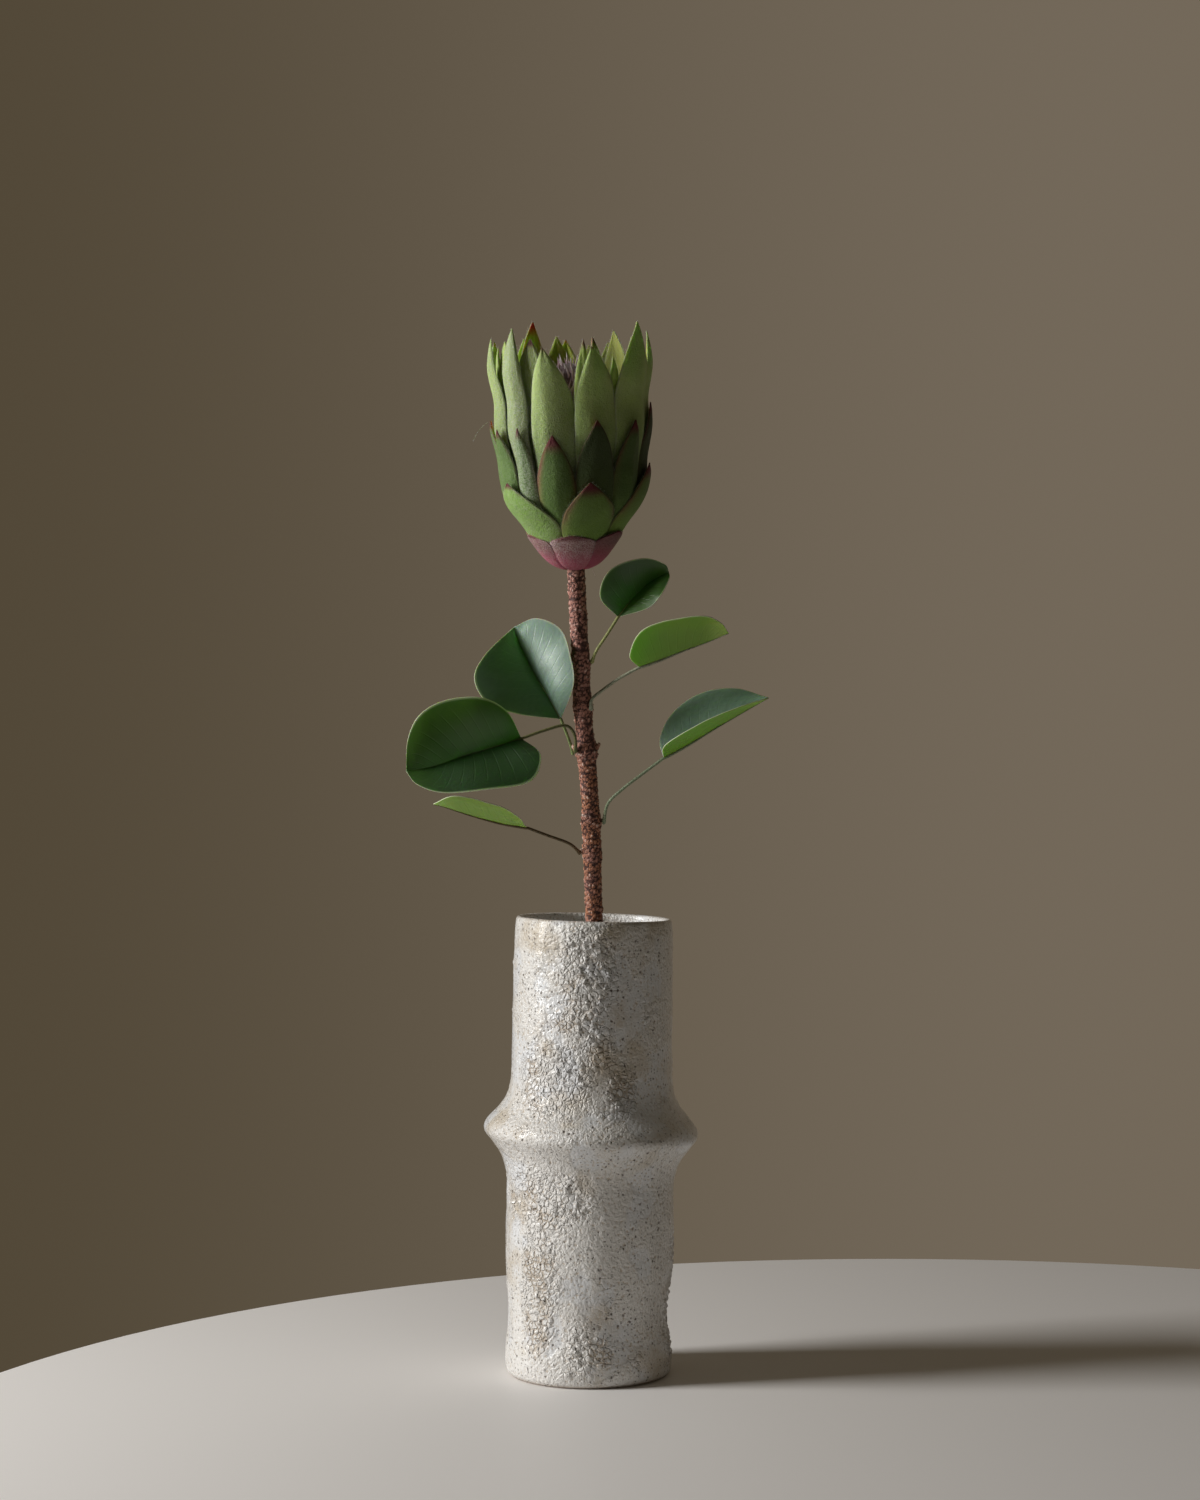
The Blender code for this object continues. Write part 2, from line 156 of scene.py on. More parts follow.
# The vase: coarse white stoneware thrown on a wheel in one piece, with a flared collar half way up and a
# slight lean. Its thick white glaze crawled into beads and craters over the grogged clay as it was fired.
VASE_HEIGHT = 291.0
VASE_BORE = 46.0
VASE_FLOOR = 11.0
VASE_FOOT = 50.0
VASE_OUTER = [
    (49.0, 290.5),
    (49.9, 288.5),
    (50.6, 281.0),
    (51.0, 262.0),
    (51.4, 232.0),
    (51.5, 206.0),
    (52.2, 186.0),
    (54.7, 176.0),
    (59.8, 168.0),
    (65.6, 161.5),
    (68.2, 157.0),
    (68.5, 154.0),
    (67.4, 151.2),
    (62.4, 145.0),
    (57.6, 138.0),
    (54.8, 130.0),
    (53.6, 121.0),
    (53.4, 98.0),
    (53.0, 70.0),
    (51.4, 54.0),
    (50.3, 42.0),
    (50.7, 30.0),
    (52.4, 18.0),
    (53.0, 10.0),
    (52.4, 3.5),
    (VASE_FOOT, 0.4),
]
# The bore's round corner at the floor, its wall and its flared edge at the lip.
VASE_CORNER = [(0.0, VASE_FLOOR), (VASE_BORE - 9.0, VASE_FLOOR), (VASE_BORE - 2.5, VASE_FLOOR + 2.5)]
VASE_WALL = [(VASE_BORE, VASE_FLOOR + 9.0), (VASE_BORE, VASE_HEIGHT - 6.0)]
VASE_LIP = [
    (VASE_BORE, VASE_HEIGHT - 4.0),
    (VASE_BORE, VASE_HEIGHT - 2.5),
    (VASE_BORE + 0.3, VASE_HEIGHT - 1.2),
    (VASE_BORE + 0.9, VASE_HEIGHT - 0.5),
    (VASE_BORE + 2.1, VASE_HEIGHT),
]
VASE_STEPS = 288
GLAZE_STEP = 1.12
BORE_STEP = 14.0
LEAN_AT = (0.0, 20.0, 42.0, 68.0, 154.0, 291.0)
LEAN = (0.0, -0.7, -1.3, 0.0, 1.3, 3.2)
TIP_AT = (0.0, 60.0, 154.0, 291.0)
TIP = (0.0, 0.0, 0.042, 0.026)
OVAL = 0.004
OVAL_TWIST = 60.0
OVAL_FROM = 40.0
# Where the glaze crawled most: azimuth, height, half the width in degrees and half the height.
CRAWLS = [
    (-4, 262, 16, 26),
    (-12, 228, 14, 7),
    (6, 212, 9, 12),
    (21, 187, 9, 14),
    (-30, 192, 24, 18),
    (-38, 116, 32, 16),
    (-38, 62, 13, 34),
    (-4, 24, 8, 12),
    (10, 23, 6, 8),
    (94, 42, 22, 40),
]
BEAD_SIZE = 3.2
# How far a bead rises on smooth and on crawled glaze, and how deep a crater goes.
BEAD_SMOOTH = 0.16
BEAD_CRAWLED = 1.45
CRATER_DEPTH = 2.0
LIP_WEAR = 0.25
BARE_FOOT = 2.5
GLAZE_WHITE = (0.79, 0.775, 0.75)
GLAZE_POOL = (0.76, 0.77, 0.785)
GLAZE_THIN = (0.60, 0.53, 0.43)
GLAZE_STAIN = (0.46, 0.36, 0.25)
IRON_SPECK = (0.085, 0.055, 0.035)
BARE_CLAY = (0.36, 0.26, 0.175)


def smooth(points, steps=14):
    """Points read off a Catmull-Rom curve through the given ones."""
    given = np.array(points, float)
    ends = np.vstack([2 * given[0] - given[1], given, 2 * given[-1] - given[-2]])
    found = []
    for a, b, c, d in zip(ends, ends[1:], ends[2:], ends[3:]):
        for t in np.linspace(0, 1, steps, endpoint=False):
            bend = (2 * a - 5 * b + 4 * c - d) * t**2 + (3 * b - a - 3 * c + d) * t**3
            found.append(0.5 * (2 * b + (c - a) * t + bend))
    found.append(given[-1])
    return np.array(found)


def lengths(curve):
    """Length along a sampled curve, at each of its points."""
    return np.concatenate([[0.0], np.cumsum(np.linalg.norm(np.diff(curve, axis=0), axis=1))])


def along(curve, fraction):
    """The point, or points, at a fraction of a sampled curve's length."""
    run = lengths(curve)
    return np.array([np.interp(np.multiply(fraction, run[-1]), run, values) for values in curve.T]).T


def stepped(curve, step):
    """A sampled curve read again at even steps."""
    count = max(int(lengths(curve)[-1] / step), 1)
    return along(curve, np.linspace(0, 1, count + 1))


def ease(x):
    """Smooth step from 0 to 1."""
    x = min(max(x, 0.0), 1.0)
    return x * x * (3 - 2 * x)


def joined(shape, reach):
    """Merges the vertices that lie within this many millimetres of each other and turns the faces outward."""
    bmesh.ops.remove_doubles(shape, verts=shape.verts, dist=reach * MM)
    bmesh.ops.recalc_face_normals(shape, faces=shape.faces)


def float_layers(shape, *names):
    """New layers on the bmesh's vertices, by name: the attributes that the materials read."""
    return {name: shape.verts.layers.float.new(name) for name in names}


def turned(profile, steps):
    """A bmesh of a profile of radius and height, spun round Z and closed at its poles."""
    shape = bmesh.new()
    verts = [shape.verts.new((radius * MM, 0.0, height * MM)) for radius, height in profile]
    edges = [shape.edges.new(pair) for pair in zip(verts, verts[1:])]
    bmesh.ops.spin(
        shape,
        geom=verts + edges,
        cent=(0, 0, 0),
        axis=(0, 0, 1),
        angle=2 * math.pi,
        steps=steps,
        use_merge=True,
    )
    joined(shape, 0.01)
    return shape


def piece_of(name, shape, looks, slot, *nodes):
    """The bmesh as a smooth piece with its materials, standing for its CAD nodes."""
    mesh = bpy.data.meshes.new(name)
    shape.to_mesh(mesh)
    shape.free()
    for look in looks:
        mesh.materials.append(look)
    mesh.shade_smooth()
    piece = bpy.data.objects.new(name, mesh)
    scene.collection.objects.link(piece)
    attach(piece, "root")
    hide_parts(*nodes)
    return piece


def crawled(azimuth, height, place):
    """How far the glaze has crawled into beads, from 0 to 1."""
    most = 0.35 * noise.noise(place / 24.0) + 0.16 * noise.noise(place / 7.0)
    for at, level, half_width, half_height in CRAWLS:
        across = ((azimuth - at + 180) % 360 - 180) / half_width
        most = max(most, 1.1 * math.exp(-(across**2) - ((height - level) / half_height) ** 2))
    return ease((most + 0.10 * noise.noise(place / 5.0)) * 1.9)


def glaze_relief(place, crawl):
    """How far the glaze stands out, in millimetres."""
    apart, cells = noise.voronoi(place / BEAD_SIZE)
    bead = ease((0.72 - apart[0]) / 0.5) * (0.5 + 1.1 * noise.noise(cells[0] * 5.3))
    crater = ease((0.5 - apart[0]) / 0.3) * max(0.0, -noise.noise(cells[0] * 9.1) - 0.05)
    lumps = 0.5 * noise.noise(place / 36.0) + 0.3 * noise.noise(place / 11.0)
    return lumps + bead * (BEAD_SMOOTH + BEAD_CRAWLED * crawl) - CRATER_DEPTH * crater * (0.25 + crawl)


outer = stepped(smooth(VASE_OUTER), GLAZE_STEP)
wall = stepped(np.array(VASE_WALL), BORE_STEP)
shape = turned([*VASE_CORNER, *wall, *VASE_LIP, *outer, (0.0, 0.0)], VASE_STEPS)
layers = float_layers(shape, "crawl", "pit", "bare")
for vertex in shape.verts:
    x, y, z = vertex.co / MM
    radius = math.hypot(x, y)
    if radius > VASE_BORE + 2.5 and z > 0.2:
        place = Vector((x, y, z))
        crawl = crawled(math.degrees(math.atan2(x, -y)), z, place)
        fade = ease(z / 9.0) * ease((VASE_HEIGHT - z) / 6.0)
        relief = glaze_relief(place, crawl) * (0.15 + 0.85 * fade)
        x += relief * x / radius
        y += relief * y / radius
        vertex[layers["crawl"]] = crawl * fade
        vertex[layers["pit"]] = ease((0.2 - relief) / 0.7)
    worn_lip = LIP_WEAR * ease((z - VASE_HEIGHT + 1.6) / 1.2) * ease((radius - VASE_BORE) / 1.2)
    vertex[layers["bare"]] = max(worn_lip, ease(1 - z / BARE_FOOT))
    oval = 1 + OVAL * math.cos(2 * math.atan2(y, x) + z / OVAL_TWIST) * min(z / OVAL_FROM, 1)
    drop = np.interp(z, TIP_AT, TIP) * x * min(radius / VASE_FOOT, 1)
    vertex.co = Vector((x * oval + np.interp(z, LEAN_AT, LEAN), y * oval, z - drop)) * MM


def sums(tree, kind, *values):
    """A Math node's result."""
    return node(tree, "Math", dict(enumerate(values)), operation=kind).outputs[0]


def attribute(tree, name):
    """A value stored in the piece's own mesh."""
    return node(tree, "Attribute", attribute_name=name).outputs["Fac"]


def clouds(tree, place, scale, detail=3.0):
    """Soft noise, with its scale in cycles to a metre."""
    return node(tree, "TexNoise", {"Vector": place, "Scale": scale, "Detail": detail}).outputs["Fac"]


def bump(tree, height, distance):
    """A normal for a relief that is this deep, in millimetres."""
    return node(tree, "Bump", {"Height": height, "Distance": distance * MM}).outputs["Normal"]


look, tree, shader = material("crawled_white_glaze")
place = node(tree, "TexCoord").outputs["Object"]
crawl = attribute(tree, "crawl")
bare = attribute(tree, "bare")
pit = attribute(tree, "pit")
grain = clouds(tree, place, 520, 5.0)
fine = clouds(tree, place, 1400, 2.0)
pool = ramp(tree, clouds(tree, place, 30, 2.0), 0.50, 0.58)


def specks(tree, scale, share, size):
    """Iron specks that burned through the glaze: ragged dots in a share of a pattern's cells."""
    cells = node(tree, "TexVoronoi", {"Vector": place, "Scale": scale})
    own = node(tree, "SeparateColor", {0: cells.outputs["Color"]}).outputs[0]
    chosen = ramp(tree, own, 1 - share, 1.03 - share)
    ragged = sums(tree, "ADD", cells.outputs["Distance"], ramp(tree, fine, 0.3, 0.7, -0.08, 0.08))
    return sums(tree, "MULTIPLY", ramp(tree, ragged, size, size * 0.5), chosen)


large_specks = specks(tree, 270.0, 0.34, 0.26)
small_specks = specks(tree, 480.0, 0.42, 0.32)
speck = sums(tree, "MAXIMUM", large_specks, sums(tree, "MULTIPLY", small_specks, 0.8))
speck = sums(tree, "MULTIPLY", speck, ramp(tree, clouds(tree, place, 45, 2.0), 0.30, 0.60, 0.35, 1.0))
drift = node(tree, "TexNoise", {"Vector": place, "Scale": 420.0, "Detail": 2.0}).outputs["Color"]
drift = node(tree, "VectorMath", {0: drift, "Scale": 2.2 * MM}, operation="SCALE").outputs[0]
warped = node(tree, "VectorMath", {0: place, 1: drift}, operation="ADD").outputs[0]
islands = node(tree, "TexVoronoi", {"Vector": warped, "Scale": 270.0}, feature="DISTANCE_TO_EDGE")
island = ramp(tree, islands.outputs["Distance"], 0.0, 0.22)
valley = sums(tree, "MULTIPLY", sums(tree, "SUBTRACT", 1.0, island), crawl)
thin = ramp(tree, clouds(tree, place, 34, 4.0), 0.51, 0.72)
thin = sums(tree, "MULTIPLY", thin, ramp(tree, grain, 0.36, 0.62, 0.45, 1.0))
colour = blended(tree, pool, GLAZE_WHITE, GLAZE_POOL)
colour = blended(tree, thin, colour, GLAZE_THIN)
low = sums(tree, "MULTIPLY", pit, ramp(tree, grain, 0.56, 0.36, 0.0, 0.45))
colour = blended(tree, low, colour, GLAZE_THIN)
rusty = ramp(tree, clouds(tree, place, 48, 3.0), 0.50, 0.64, 0.06, 0.75)
colour = blended(tree, sums(tree, "MULTIPLY", valley, rusty), colour, GLAZE_STAIN)
colour = blended(tree, ramp(tree, grain, 0.43, 0.30, 0.0, 0.7), colour, GLAZE_STAIN)
colour = blended(tree, sums(tree, "MULTIPLY", speck, 0.9), colour, IRON_SPECK)
colour = blended(tree, sums(tree, "MULTIPLY", bare, 0.85), colour, BARE_CLAY)
rough = ramp(tree, sums(tree, "ADD", crawl, bare), 0.0, 1.0, 0.22, 0.34)
calm = ramp(tree, pool, 0.0, 1.0, 1.0, 0.35)
height = sums(tree, "SUBTRACT", sums(tree, "MULTIPLY", grain, calm), sums(tree, "MULTIPLY", speck, 0.4))
height = sums(tree, "ADD", height, sums(tree, "MULTIPLY", island, ramp(tree, crawl, 0.0, 0.8, 0.08, 0.62)))
feed(tree, shader, Base_Color=colour, Roughness=rough, Normal=bump(tree, height, 1.25), Coat_Weight=0.3)
shader.inputs["Coat Roughness"].default_value = 0.12
piece_of("vase_glazed", shape, [look], "stoneware_glaze", "vase")


# The stem: one woody stem that stands on the vase's floor and leans on its front rim. Its red-brown bark is
# covered in short raised scales, and it is thicker, with torn stubs, where each leaf grows out.
GAP = 0.3
STEM_RADIUS = 5.6
STEM_FOOT_SPREAD = 1.3
RIM_POINT = (3.6, -39.9, VASE_HEIGHT)
HEAD_BASE = (-7.6, -89.0, 509.5)
STEM_LINE = [
    (17.8, 22.9, VASE_FLOOR + GAP + STEM_FOOT_SPREAD),
    (10.6, -8.9, 153.0),
    RIM_POINT,
    (2.1, -50.0, 336.0),
    (0.8, -57.0, 367.0),
    (-1.6, -64.0, 399.0),
    (-3.9, -71.0, 430.0),
    (-5.4, -78.5, 463.0),
    HEAD_BASE,
]
STEM_NODES = [(334.0, 0.14), (353.0, 0.16), (398.0, 0.30), (426.0, 0.14), (452.0, 0.12)]
STEM_NODE_HALF = 6.0
STEM_SIDES = 60
STEM_STEP = 0.62
SCALE_SIZE = 2.0
SCALE_RISE = 1.0
SCALE_STRETCH = 0.72
STUB_ROWS = 8
STUB_SIDES = 10
# Torn stubs of the bark at the leaf nodes: height, azimuth, length and radius of each.
STUBS = [
    (449.5, 80, 3.6, 1.5),
    (446.5, 100, 2.6, 1.1),
    (423.0, 60, 3.6, 1.6),
    (420.5, 80, 3.0, 1.2),
    (397.0, -78, 4.6, 2.2),
    (394.0, -60, 3.2, 1.6),
    (398.5, 84, 4.2, 2.0),
    (393.0, 95, 3.2, 1.6),
    (352.0, 84, 3.8, 1.7),
    (348.5, 75, 2.6, 1.3),
    (333.0, -82, 3.8, 1.8),
    (329.5, -70, 2.8, 1.4),
]
BARK_CLEFT = (0.055, 0.022, 0.018)
BARK_RED = (0.44, 0.205, 0.16)
BARK_RUST = (0.46, 0.19, 0.10)
BARK_SCALE = (0.80, 0.62, 0.54)

stem_line = smooth(STEM_LINE)


def stem_point(height):
    """The stem's centre at a height in millimetres."""
    return np.array([np.interp(height, stem_line[:, 2], values) for values in stem_line.T])


def stem_swell(height):
    """How much thicker the stem is at a height: its leaf nodes."""
    swell = 1.0
    for at, extra in STEM_NODES:
        swell += extra * math.exp(-(((height - at) / STEM_NODE_HALF) ** 2))
    return swell


def add_tube(shape, path, sides, radius):
    """A tube along a path in millimetres, closed at its ends. Returns each vertex with its row and its turn.

    The radius is a function of the row and the turn, in millimetres."""
    path = np.array(path, float)
    ahead = np.gradient(path, axis=0)
    ahead[0] = path[2] - path[0]
    ahead[-1] = path[-1] - path[-3]
    ahead /= np.linalg.norm(ahead, axis=1)[:, None]
    first = np.cross(ahead, (0.31, 0.95, 0.05))
    first /= np.linalg.norm(first, axis=1)[:, None]
    second = np.cross(ahead, first)
    rows = len(path) - 1
    placed = []
    for vertex in bmesh.ops.create_grid(shape, x_segments=sides, y_segments=rows, size=1.0)["verts"]:
        turn = (vertex.co.x + 1) * math.pi
        row = round((vertex.co.y + 1) / 2 * rows)
        reach = radius(row, turn) if 0 < row < rows else 0.0
        side = math.cos(turn) * first[row] + math.sin(turn) * second[row]
        vertex.co = Vector(path[row] + reach * side) * MM
        placed.append((vertex, row, turn))
    return placed


def stem_side(height, azimuth, clear):
    """A point just clear of the stem's surface, and the way straight out from the stem there."""
    angle = math.radians(azimuth)
    out = np.array([math.sin(angle), -math.cos(angle), 0.0])
    return stem_point(height) + out * (STEM_RADIUS * stem_swell(height) + clear), out


def bark_scale(place):
    """How far the bark's scales stand up at a place, from 0 to 1: each one is highest at its upper edge."""
    stretched = Vector((place[0], place[1], place[2] * SCALE_STRETCH)) / SCALE_SIZE
    apart, cells = noise.voronoi(stretched)
    rise = 0.5 + 0.9 * (stretched.z - cells[0].z)
    size = 0.7 + 0.9 * noise.noise(cells[0] * 6.7)
    edge = ease((apart[1] - apart[0]) / 0.35)
    return min(max(rise * size * edge, 0.0), 1.0)


path = stepped(stem_line, STEM_STEP)
path = np.vstack([path[0], path, path[-1]])
shape = bmesh.new()
layers = float_layers(shape, "scale")
swells = [stem_swell(point[2]) for point in path]
for vertex, row, _ in add_tube(shape, path, STEM_SIDES, lambda row, _: STEM_RADIUS * swells[row]):
    out = np.array(vertex.co) / MM - path[row]
    reach = np.linalg.norm(out)
    if reach > 0:
        raised = bark_scale(np.array(vertex.co) / MM)
        vertex[layers["scale"]] = raised
        uneven = 0.35 * noise.noise(vertex.co / MM / 8.0)
        vertex.co += Vector(out / reach) * (SCALE_RISE * raised - 0.45 * SCALE_RISE + uneven) * MM
for height, azimuth, length, radius in STUBS:
    root, out = stem_side(height, azimuth, -1.6)
    stub = np.linspace(root, root + out * length * 0.72 + np.array([0, 0, 0.95 * length]), STUB_ROWS + 1)
    torn = [1 + 0.3 * math.sin(2.4 * row + height) * row / STUB_ROWS for row in range(len(stub))]
    torn = [(1.0 - 0.07 * row) * share for row, share in enumerate(torn)]
    for vertex, row, _ in add_tube(shape, stub, STUB_SIDES, lambda row, _: radius * torn[row]):
        vertex[layers["scale"]] = 0.25 + 0.45 * row / STUB_ROWS + 0.3 * noise.noise(vertex.co / MM / 1.1)
joined(shape, 0.001)

look, tree, shader = material("scaly_bark")
place = node(tree, "TexCoord").outputs["Object"]
raised = attribute(tree, "scale")
height = node(tree, "SeparateXYZ", {0: place}).outputs[2]
grain = clouds(tree, place, 900, 4.0)
base = blended(tree, ramp(tree, height, 0.46, 0.36), BARK_RED, BARK_RUST)
base = blended(tree, ramp(tree, clouds(tree, place, 110, 3.0), 0.38, 0.68), base, BARK_RED)
colour = blended(tree, ramp(tree, raised, 0.0, 0.20), BARK_CLEFT, base)
dash = node(tree, "VectorMath", {0: place, 1: (1.0, 1.0, 2.6)}, operation="MULTIPLY").outputs[0]
colour = blended(tree, ramp(tree, clouds(tree, dash, 190, 3.0), 0.54, 0.64, 0.0, 0.85), colour, BARK_CLEFT)
tip = sums(tree, "MULTIPLY", ramp(tree, raised, 0.34, 0.74), ramp(tree, grain, 0.38, 0.60, 0.2, 1.0))
colour = blended(tree, tip, colour, BARK_SCALE)
feed(tree, shader, Base_Color=colour, Roughness=0.62, Normal=bump(tree, grain, 0.5), Specular_IOR_Level=0.35)
piece_of("stem_bark", shape, [look], "bark", "stem")


# The receptacle: the pale pithy core at the top of the stem, which carries every bract and floret. It grew
# as one piece with small scars in rows, and it hardly shows between the lowest bracts.
HEAD_LEAN_FORWARD = math.radians(12.0)
HEAD_LEAN_LEFT = math.radians(2.0)
RECEPTACLE = [(7.0, 33.0), (10.5, 28.0), (12.0, 20.0), (11.0, 11.0), (9.4, 4.0), (7.8, GAP)]
CORE_STEPS = 64
PITH_LIGHT = (0.36, 0.33, 0.17)
PITH_DARK = (0.20, 0.11, 0.09)

head_frame = (
    Matrix.Translation(Vector(HEAD_BASE) * MM)
    @ Matrix.Rotation(-HEAD_LEAN_LEFT, 4, "Y")
    @ Matrix.Rotation(HEAD_LEAN_FORWARD, 4, "X")
)

core = stepped(smooth(RECEPTACLE), 0.8)
shape = turned([(0.0, RECEPTACLE[0][1]), *core, (0.0, GAP)], CORE_STEPS)
for vertex in shape.verts:
    x, y, z = vertex.co / MM
    radius = math.hypot(x, y)
    if radius > 5:
        scar = 0.22 * math.sin(9 * math.atan2(y, x) + 1.1 * z) * math.sin(1.1 * z)
        vertex.co.x += scar * x / radius * MM
        vertex.co.y += scar * y / radius * MM
shape.transform(head_frame)
look, tree, shader = material("pith")
place = node(tree, "TexCoord").outputs["Object"]
grain = clouds(tree, place, 420, 4.0)
colour = blended(tree, ramp(tree, grain, 0.35, 0.65), PITH_LIGHT, PITH_DARK)
feed(tree, shader, Base_Color=colour, Roughness=0.75, Normal=bump(tree, grain, 0.4))
piece_of("receptacle_pith", shape, [look], "receptacle", "receptacle")


# The florets: several hundred thin tubes packed on the receptacle in a spiral, each a silky strand that
# rises and bends in over the middle. They are dark at the foot, purple-pink higher up and white at the tip.
FLORETS = [
    (0.0, 128.5),
    (10.0, 126.5),
    (19.0, 121.5),
    (26.0, 112.0),
    (28.5, 100.0),
    (27.0, 83.0),
    (23.5, 64.0),
    (17.0, 46.0),
    (9.0, 35.5),
    (6.0, 33.0 + GAP),
]
FLORET_COUNT = 820
FLORET_SPIRAL = math.radians(137.508)
FLORET_RADIUS = 0.62
FLORET_RISE = 27.0
FLORET_THICK = [0.0, 0.75, 0.9, 1.0, 0.9, 1.15, 0.7, 0.0]
FLORET_ROWS = len(FLORET_THICK) - 1
FLORET_SIDES = 5
DOME_SHARE = 0.66
FLORET_FOOT = (0.10, 0.045, 0.055)
FLORET_PINK = (0.46, 0.27, 0.34)
FLORET_TIP = (0.80, 0.70, 0.73)

dome = smooth(FLORETS)
mass = [
    (max(radius - 5.0, 0.0), height - 4.0 if height > 60 else height)
    for radius, height in stepped(dome, 3.0)
]
mass[-1] = (0.0, FLORETS[-1][1])
shape = turned(mass, CORE_STEPS)
layers = float_layers(shape, "along", "tint")
rng = np.random.default_rng(7)
tips = along(dome, np.sqrt((np.arange(FLORET_COUNT) + 0.5) / FLORET_COUNT) * DOME_SHARE)
for index, (radius, height) in enumerate(tips):
    angle = index * FLORET_SPIRAL + rng.uniform(-0.05, 0.05)
    out = np.array([math.sin(angle), -math.cos(angle), 0.0])
    rise = FLORET_RISE * rng.uniform(0.85, 1.1)
    foot = max(radius - 6.0, 0.3) * 0.86
    line = [
        out * foot + (0, 0, height - rise),
        out * (foot + 0.55 * (radius - foot) + 1.2) + (0, 0, height - 0.6 * rise) + rng.normal(0, 0.5, 3),
        out * (radius + 0.2) + (0, 0, height - 0.25 * rise) + rng.normal(0, 1.1, 3),
        out * (radius * 0.93) + (0, 0, height) + rng.normal(0, 1.5, 3),
    ]
    strand = along(smooth(line, 6), np.linspace(0, 1, FLORET_ROWS + 1))
    tint = rng.uniform(0, 1)
    thick = [FLORET_RADIUS * share for share in FLORET_THICK]
    for vertex, row, _ in add_tube(shape, strand, FLORET_SIDES, lambda row, _: thick[row]):
        vertex[layers["along"]] = row / FLORET_ROWS
        vertex[layers["tint"]] = tint
joined(shape, 0.001)
shape.transform(head_frame)
look, tree, shader = material("silky_florets")
place = node(tree, "TexCoord").outputs["Object"]
rise = attribute(tree, "along")
tint = attribute(tree, "tint")
colour = blended(tree, ramp(tree, rise, 0.15, 0.62), FLORET_FOOT, FLORET_PINK)
white = sums(tree, "MULTIPLY", ramp(tree, rise, 0.60, 0.95), ramp(tree, tint, 0.05, 0.55))
colour = blended(tree, white, colour, FLORET_TIP)
feed(tree, shader, Base_Color=colour, Roughness=0.55, Sheen_Weight=0.5, Subsurface_Weight=0.15)
shader.inputs["Subsurface Radius"].default_value = (0.001, 0.0006, 0.0007)
feed(tree, shader, Normal=bump(tree, clouds(tree, place, 2200, 2.0), 0.1))
piece_of("floret_mass", shape, [look], "florets", "florets")


# The bracts: five rows of leathery modified leaves, grown out of the receptacle and overlapping like roof
# tiles. They are felted with short silky down, thin and fringed at the edge, and most end in a red point.
HEAD_OUTLINE = [
    (6.0, -1.0),
    (15.8, 3.0),
    (25.3, 10.5),
    (34.3, 21.0),
    (43.0, 34.0),
    (47.6, 46.0),
    (50.2, 60.0),
    (50.8, 80.0),
    (50.6, 100.0),
    (50.2, 115.0),
    (49.0, 130.0),
    (46.0, 150.0),
]
LAYER = 4.0
FLARE = 26.0
HEAD_RADIUS = 50.0
SIDE_LAP = 1.0
FOOT_WIDTH = 0.95
TIP_WIDTH = 0.015
TIP_TAPER = 2.1
SEAT = 0.95
BRACT_MIDDLE = 1.5
RIDGE_ROUND = 0.05
FOLD_DEPTH = 0.45
FRINGE_HAIR = 0.07
FRINGE_STEP = 0.9
FRINGE_START = 0.35
GREEN = (0.20, 0.34, 0.07)
PETAL_INSIDE = (0.60, 0.66, 0.09)
MAROON = (0.125, 0.017, 0.024)
INSIDE_RED = (0.55, 0.045, 0.030)
RUST = (0.34, 0.14, 0.06)
DOWN = (0.50, 0.54, 0.44)
# Painted shade: a near-black green laid on the bracts that lie in shade, on the right and at the back of the
# head.
PAINTED_SHADE_COLOUR = (0.030, 0.030, 0.016)

# Each bract: azimuth of its tip, of its left edge and of its right edge in degrees, height of its tip,
# then its marks: length of the red point, rust on the left edge, down with its painted sheen, and painted
# shade.
BASE_BRACTS = [
    (-3, -33, 27, 21, 6, 0.0, 0.95, 0.0),
    (57, 27, 87, 21, 4, 0.0, 0.15, 0.25),
    (117, 87, 147, 21, 5, 0.0, 0.3, 0.0),
    (177, 147, 207, 20, 5, 0.0, 0.3, 0.0),
    (237, 207, 267, 22, 5, 0.0, 0.3, 0.0),
    (297, 267, 327, 20, 3, 0.0, 0.6, 0.0),
]
LOWER_BRACTS = [
    (-56, -88, -14, 55, 5, 0.15, 0.5, 0.0),
    (13, -14, 46, 56, 11, 0.9, 0.05, 0.55),
    (75, 46, 105, 63, 12, 0.5, 0.0, 0.6),
    (135, 105, 165, 54, 8, 0.3, 0.2, 0.2),
    (195, 165, 224, 57, 8, 0.3, 0.3, 0.0),
    (248, 224, 272, 53, 8, 0.4, 0.3, 0.0),
]
MIDDLE_BRACTS = [
    (-64, -83, -50, 87, 7, 0.2, 0.2, 0.0),
    (-40, -50, -31, 89, 8, 0.2, 0.95, 0.0),
    (-13, -31, 3, 85, 13, 0.85, 0.05, 0.3),
    (19, 3, 36, 93, 5, 0.0, 0.0, 0.75),
    (52, 36, 67, 91, 10, 0.2, 0.0, 0.5),
    (81, 67, 97, 99, 9, 0.2, 0.0, 0.8),
    (112, 97, 127, 90, 8, 0.3, 0.2, 0.2),
    (142, 127, 157, 84, 8, 0.3, 0.3, 0.0),
    (172, 157, 187, 88, 8, 0.2, 0.2, 0.1),
    (202, 187, 217, 91, 8, 0.4, 0.3, 0.0),
    (232, 217, 247, 86, 8, 0.2, 0.2, 0.1),
    (262, 247, 277, 90, 8, 0.3, 0.3, 0.0),
]
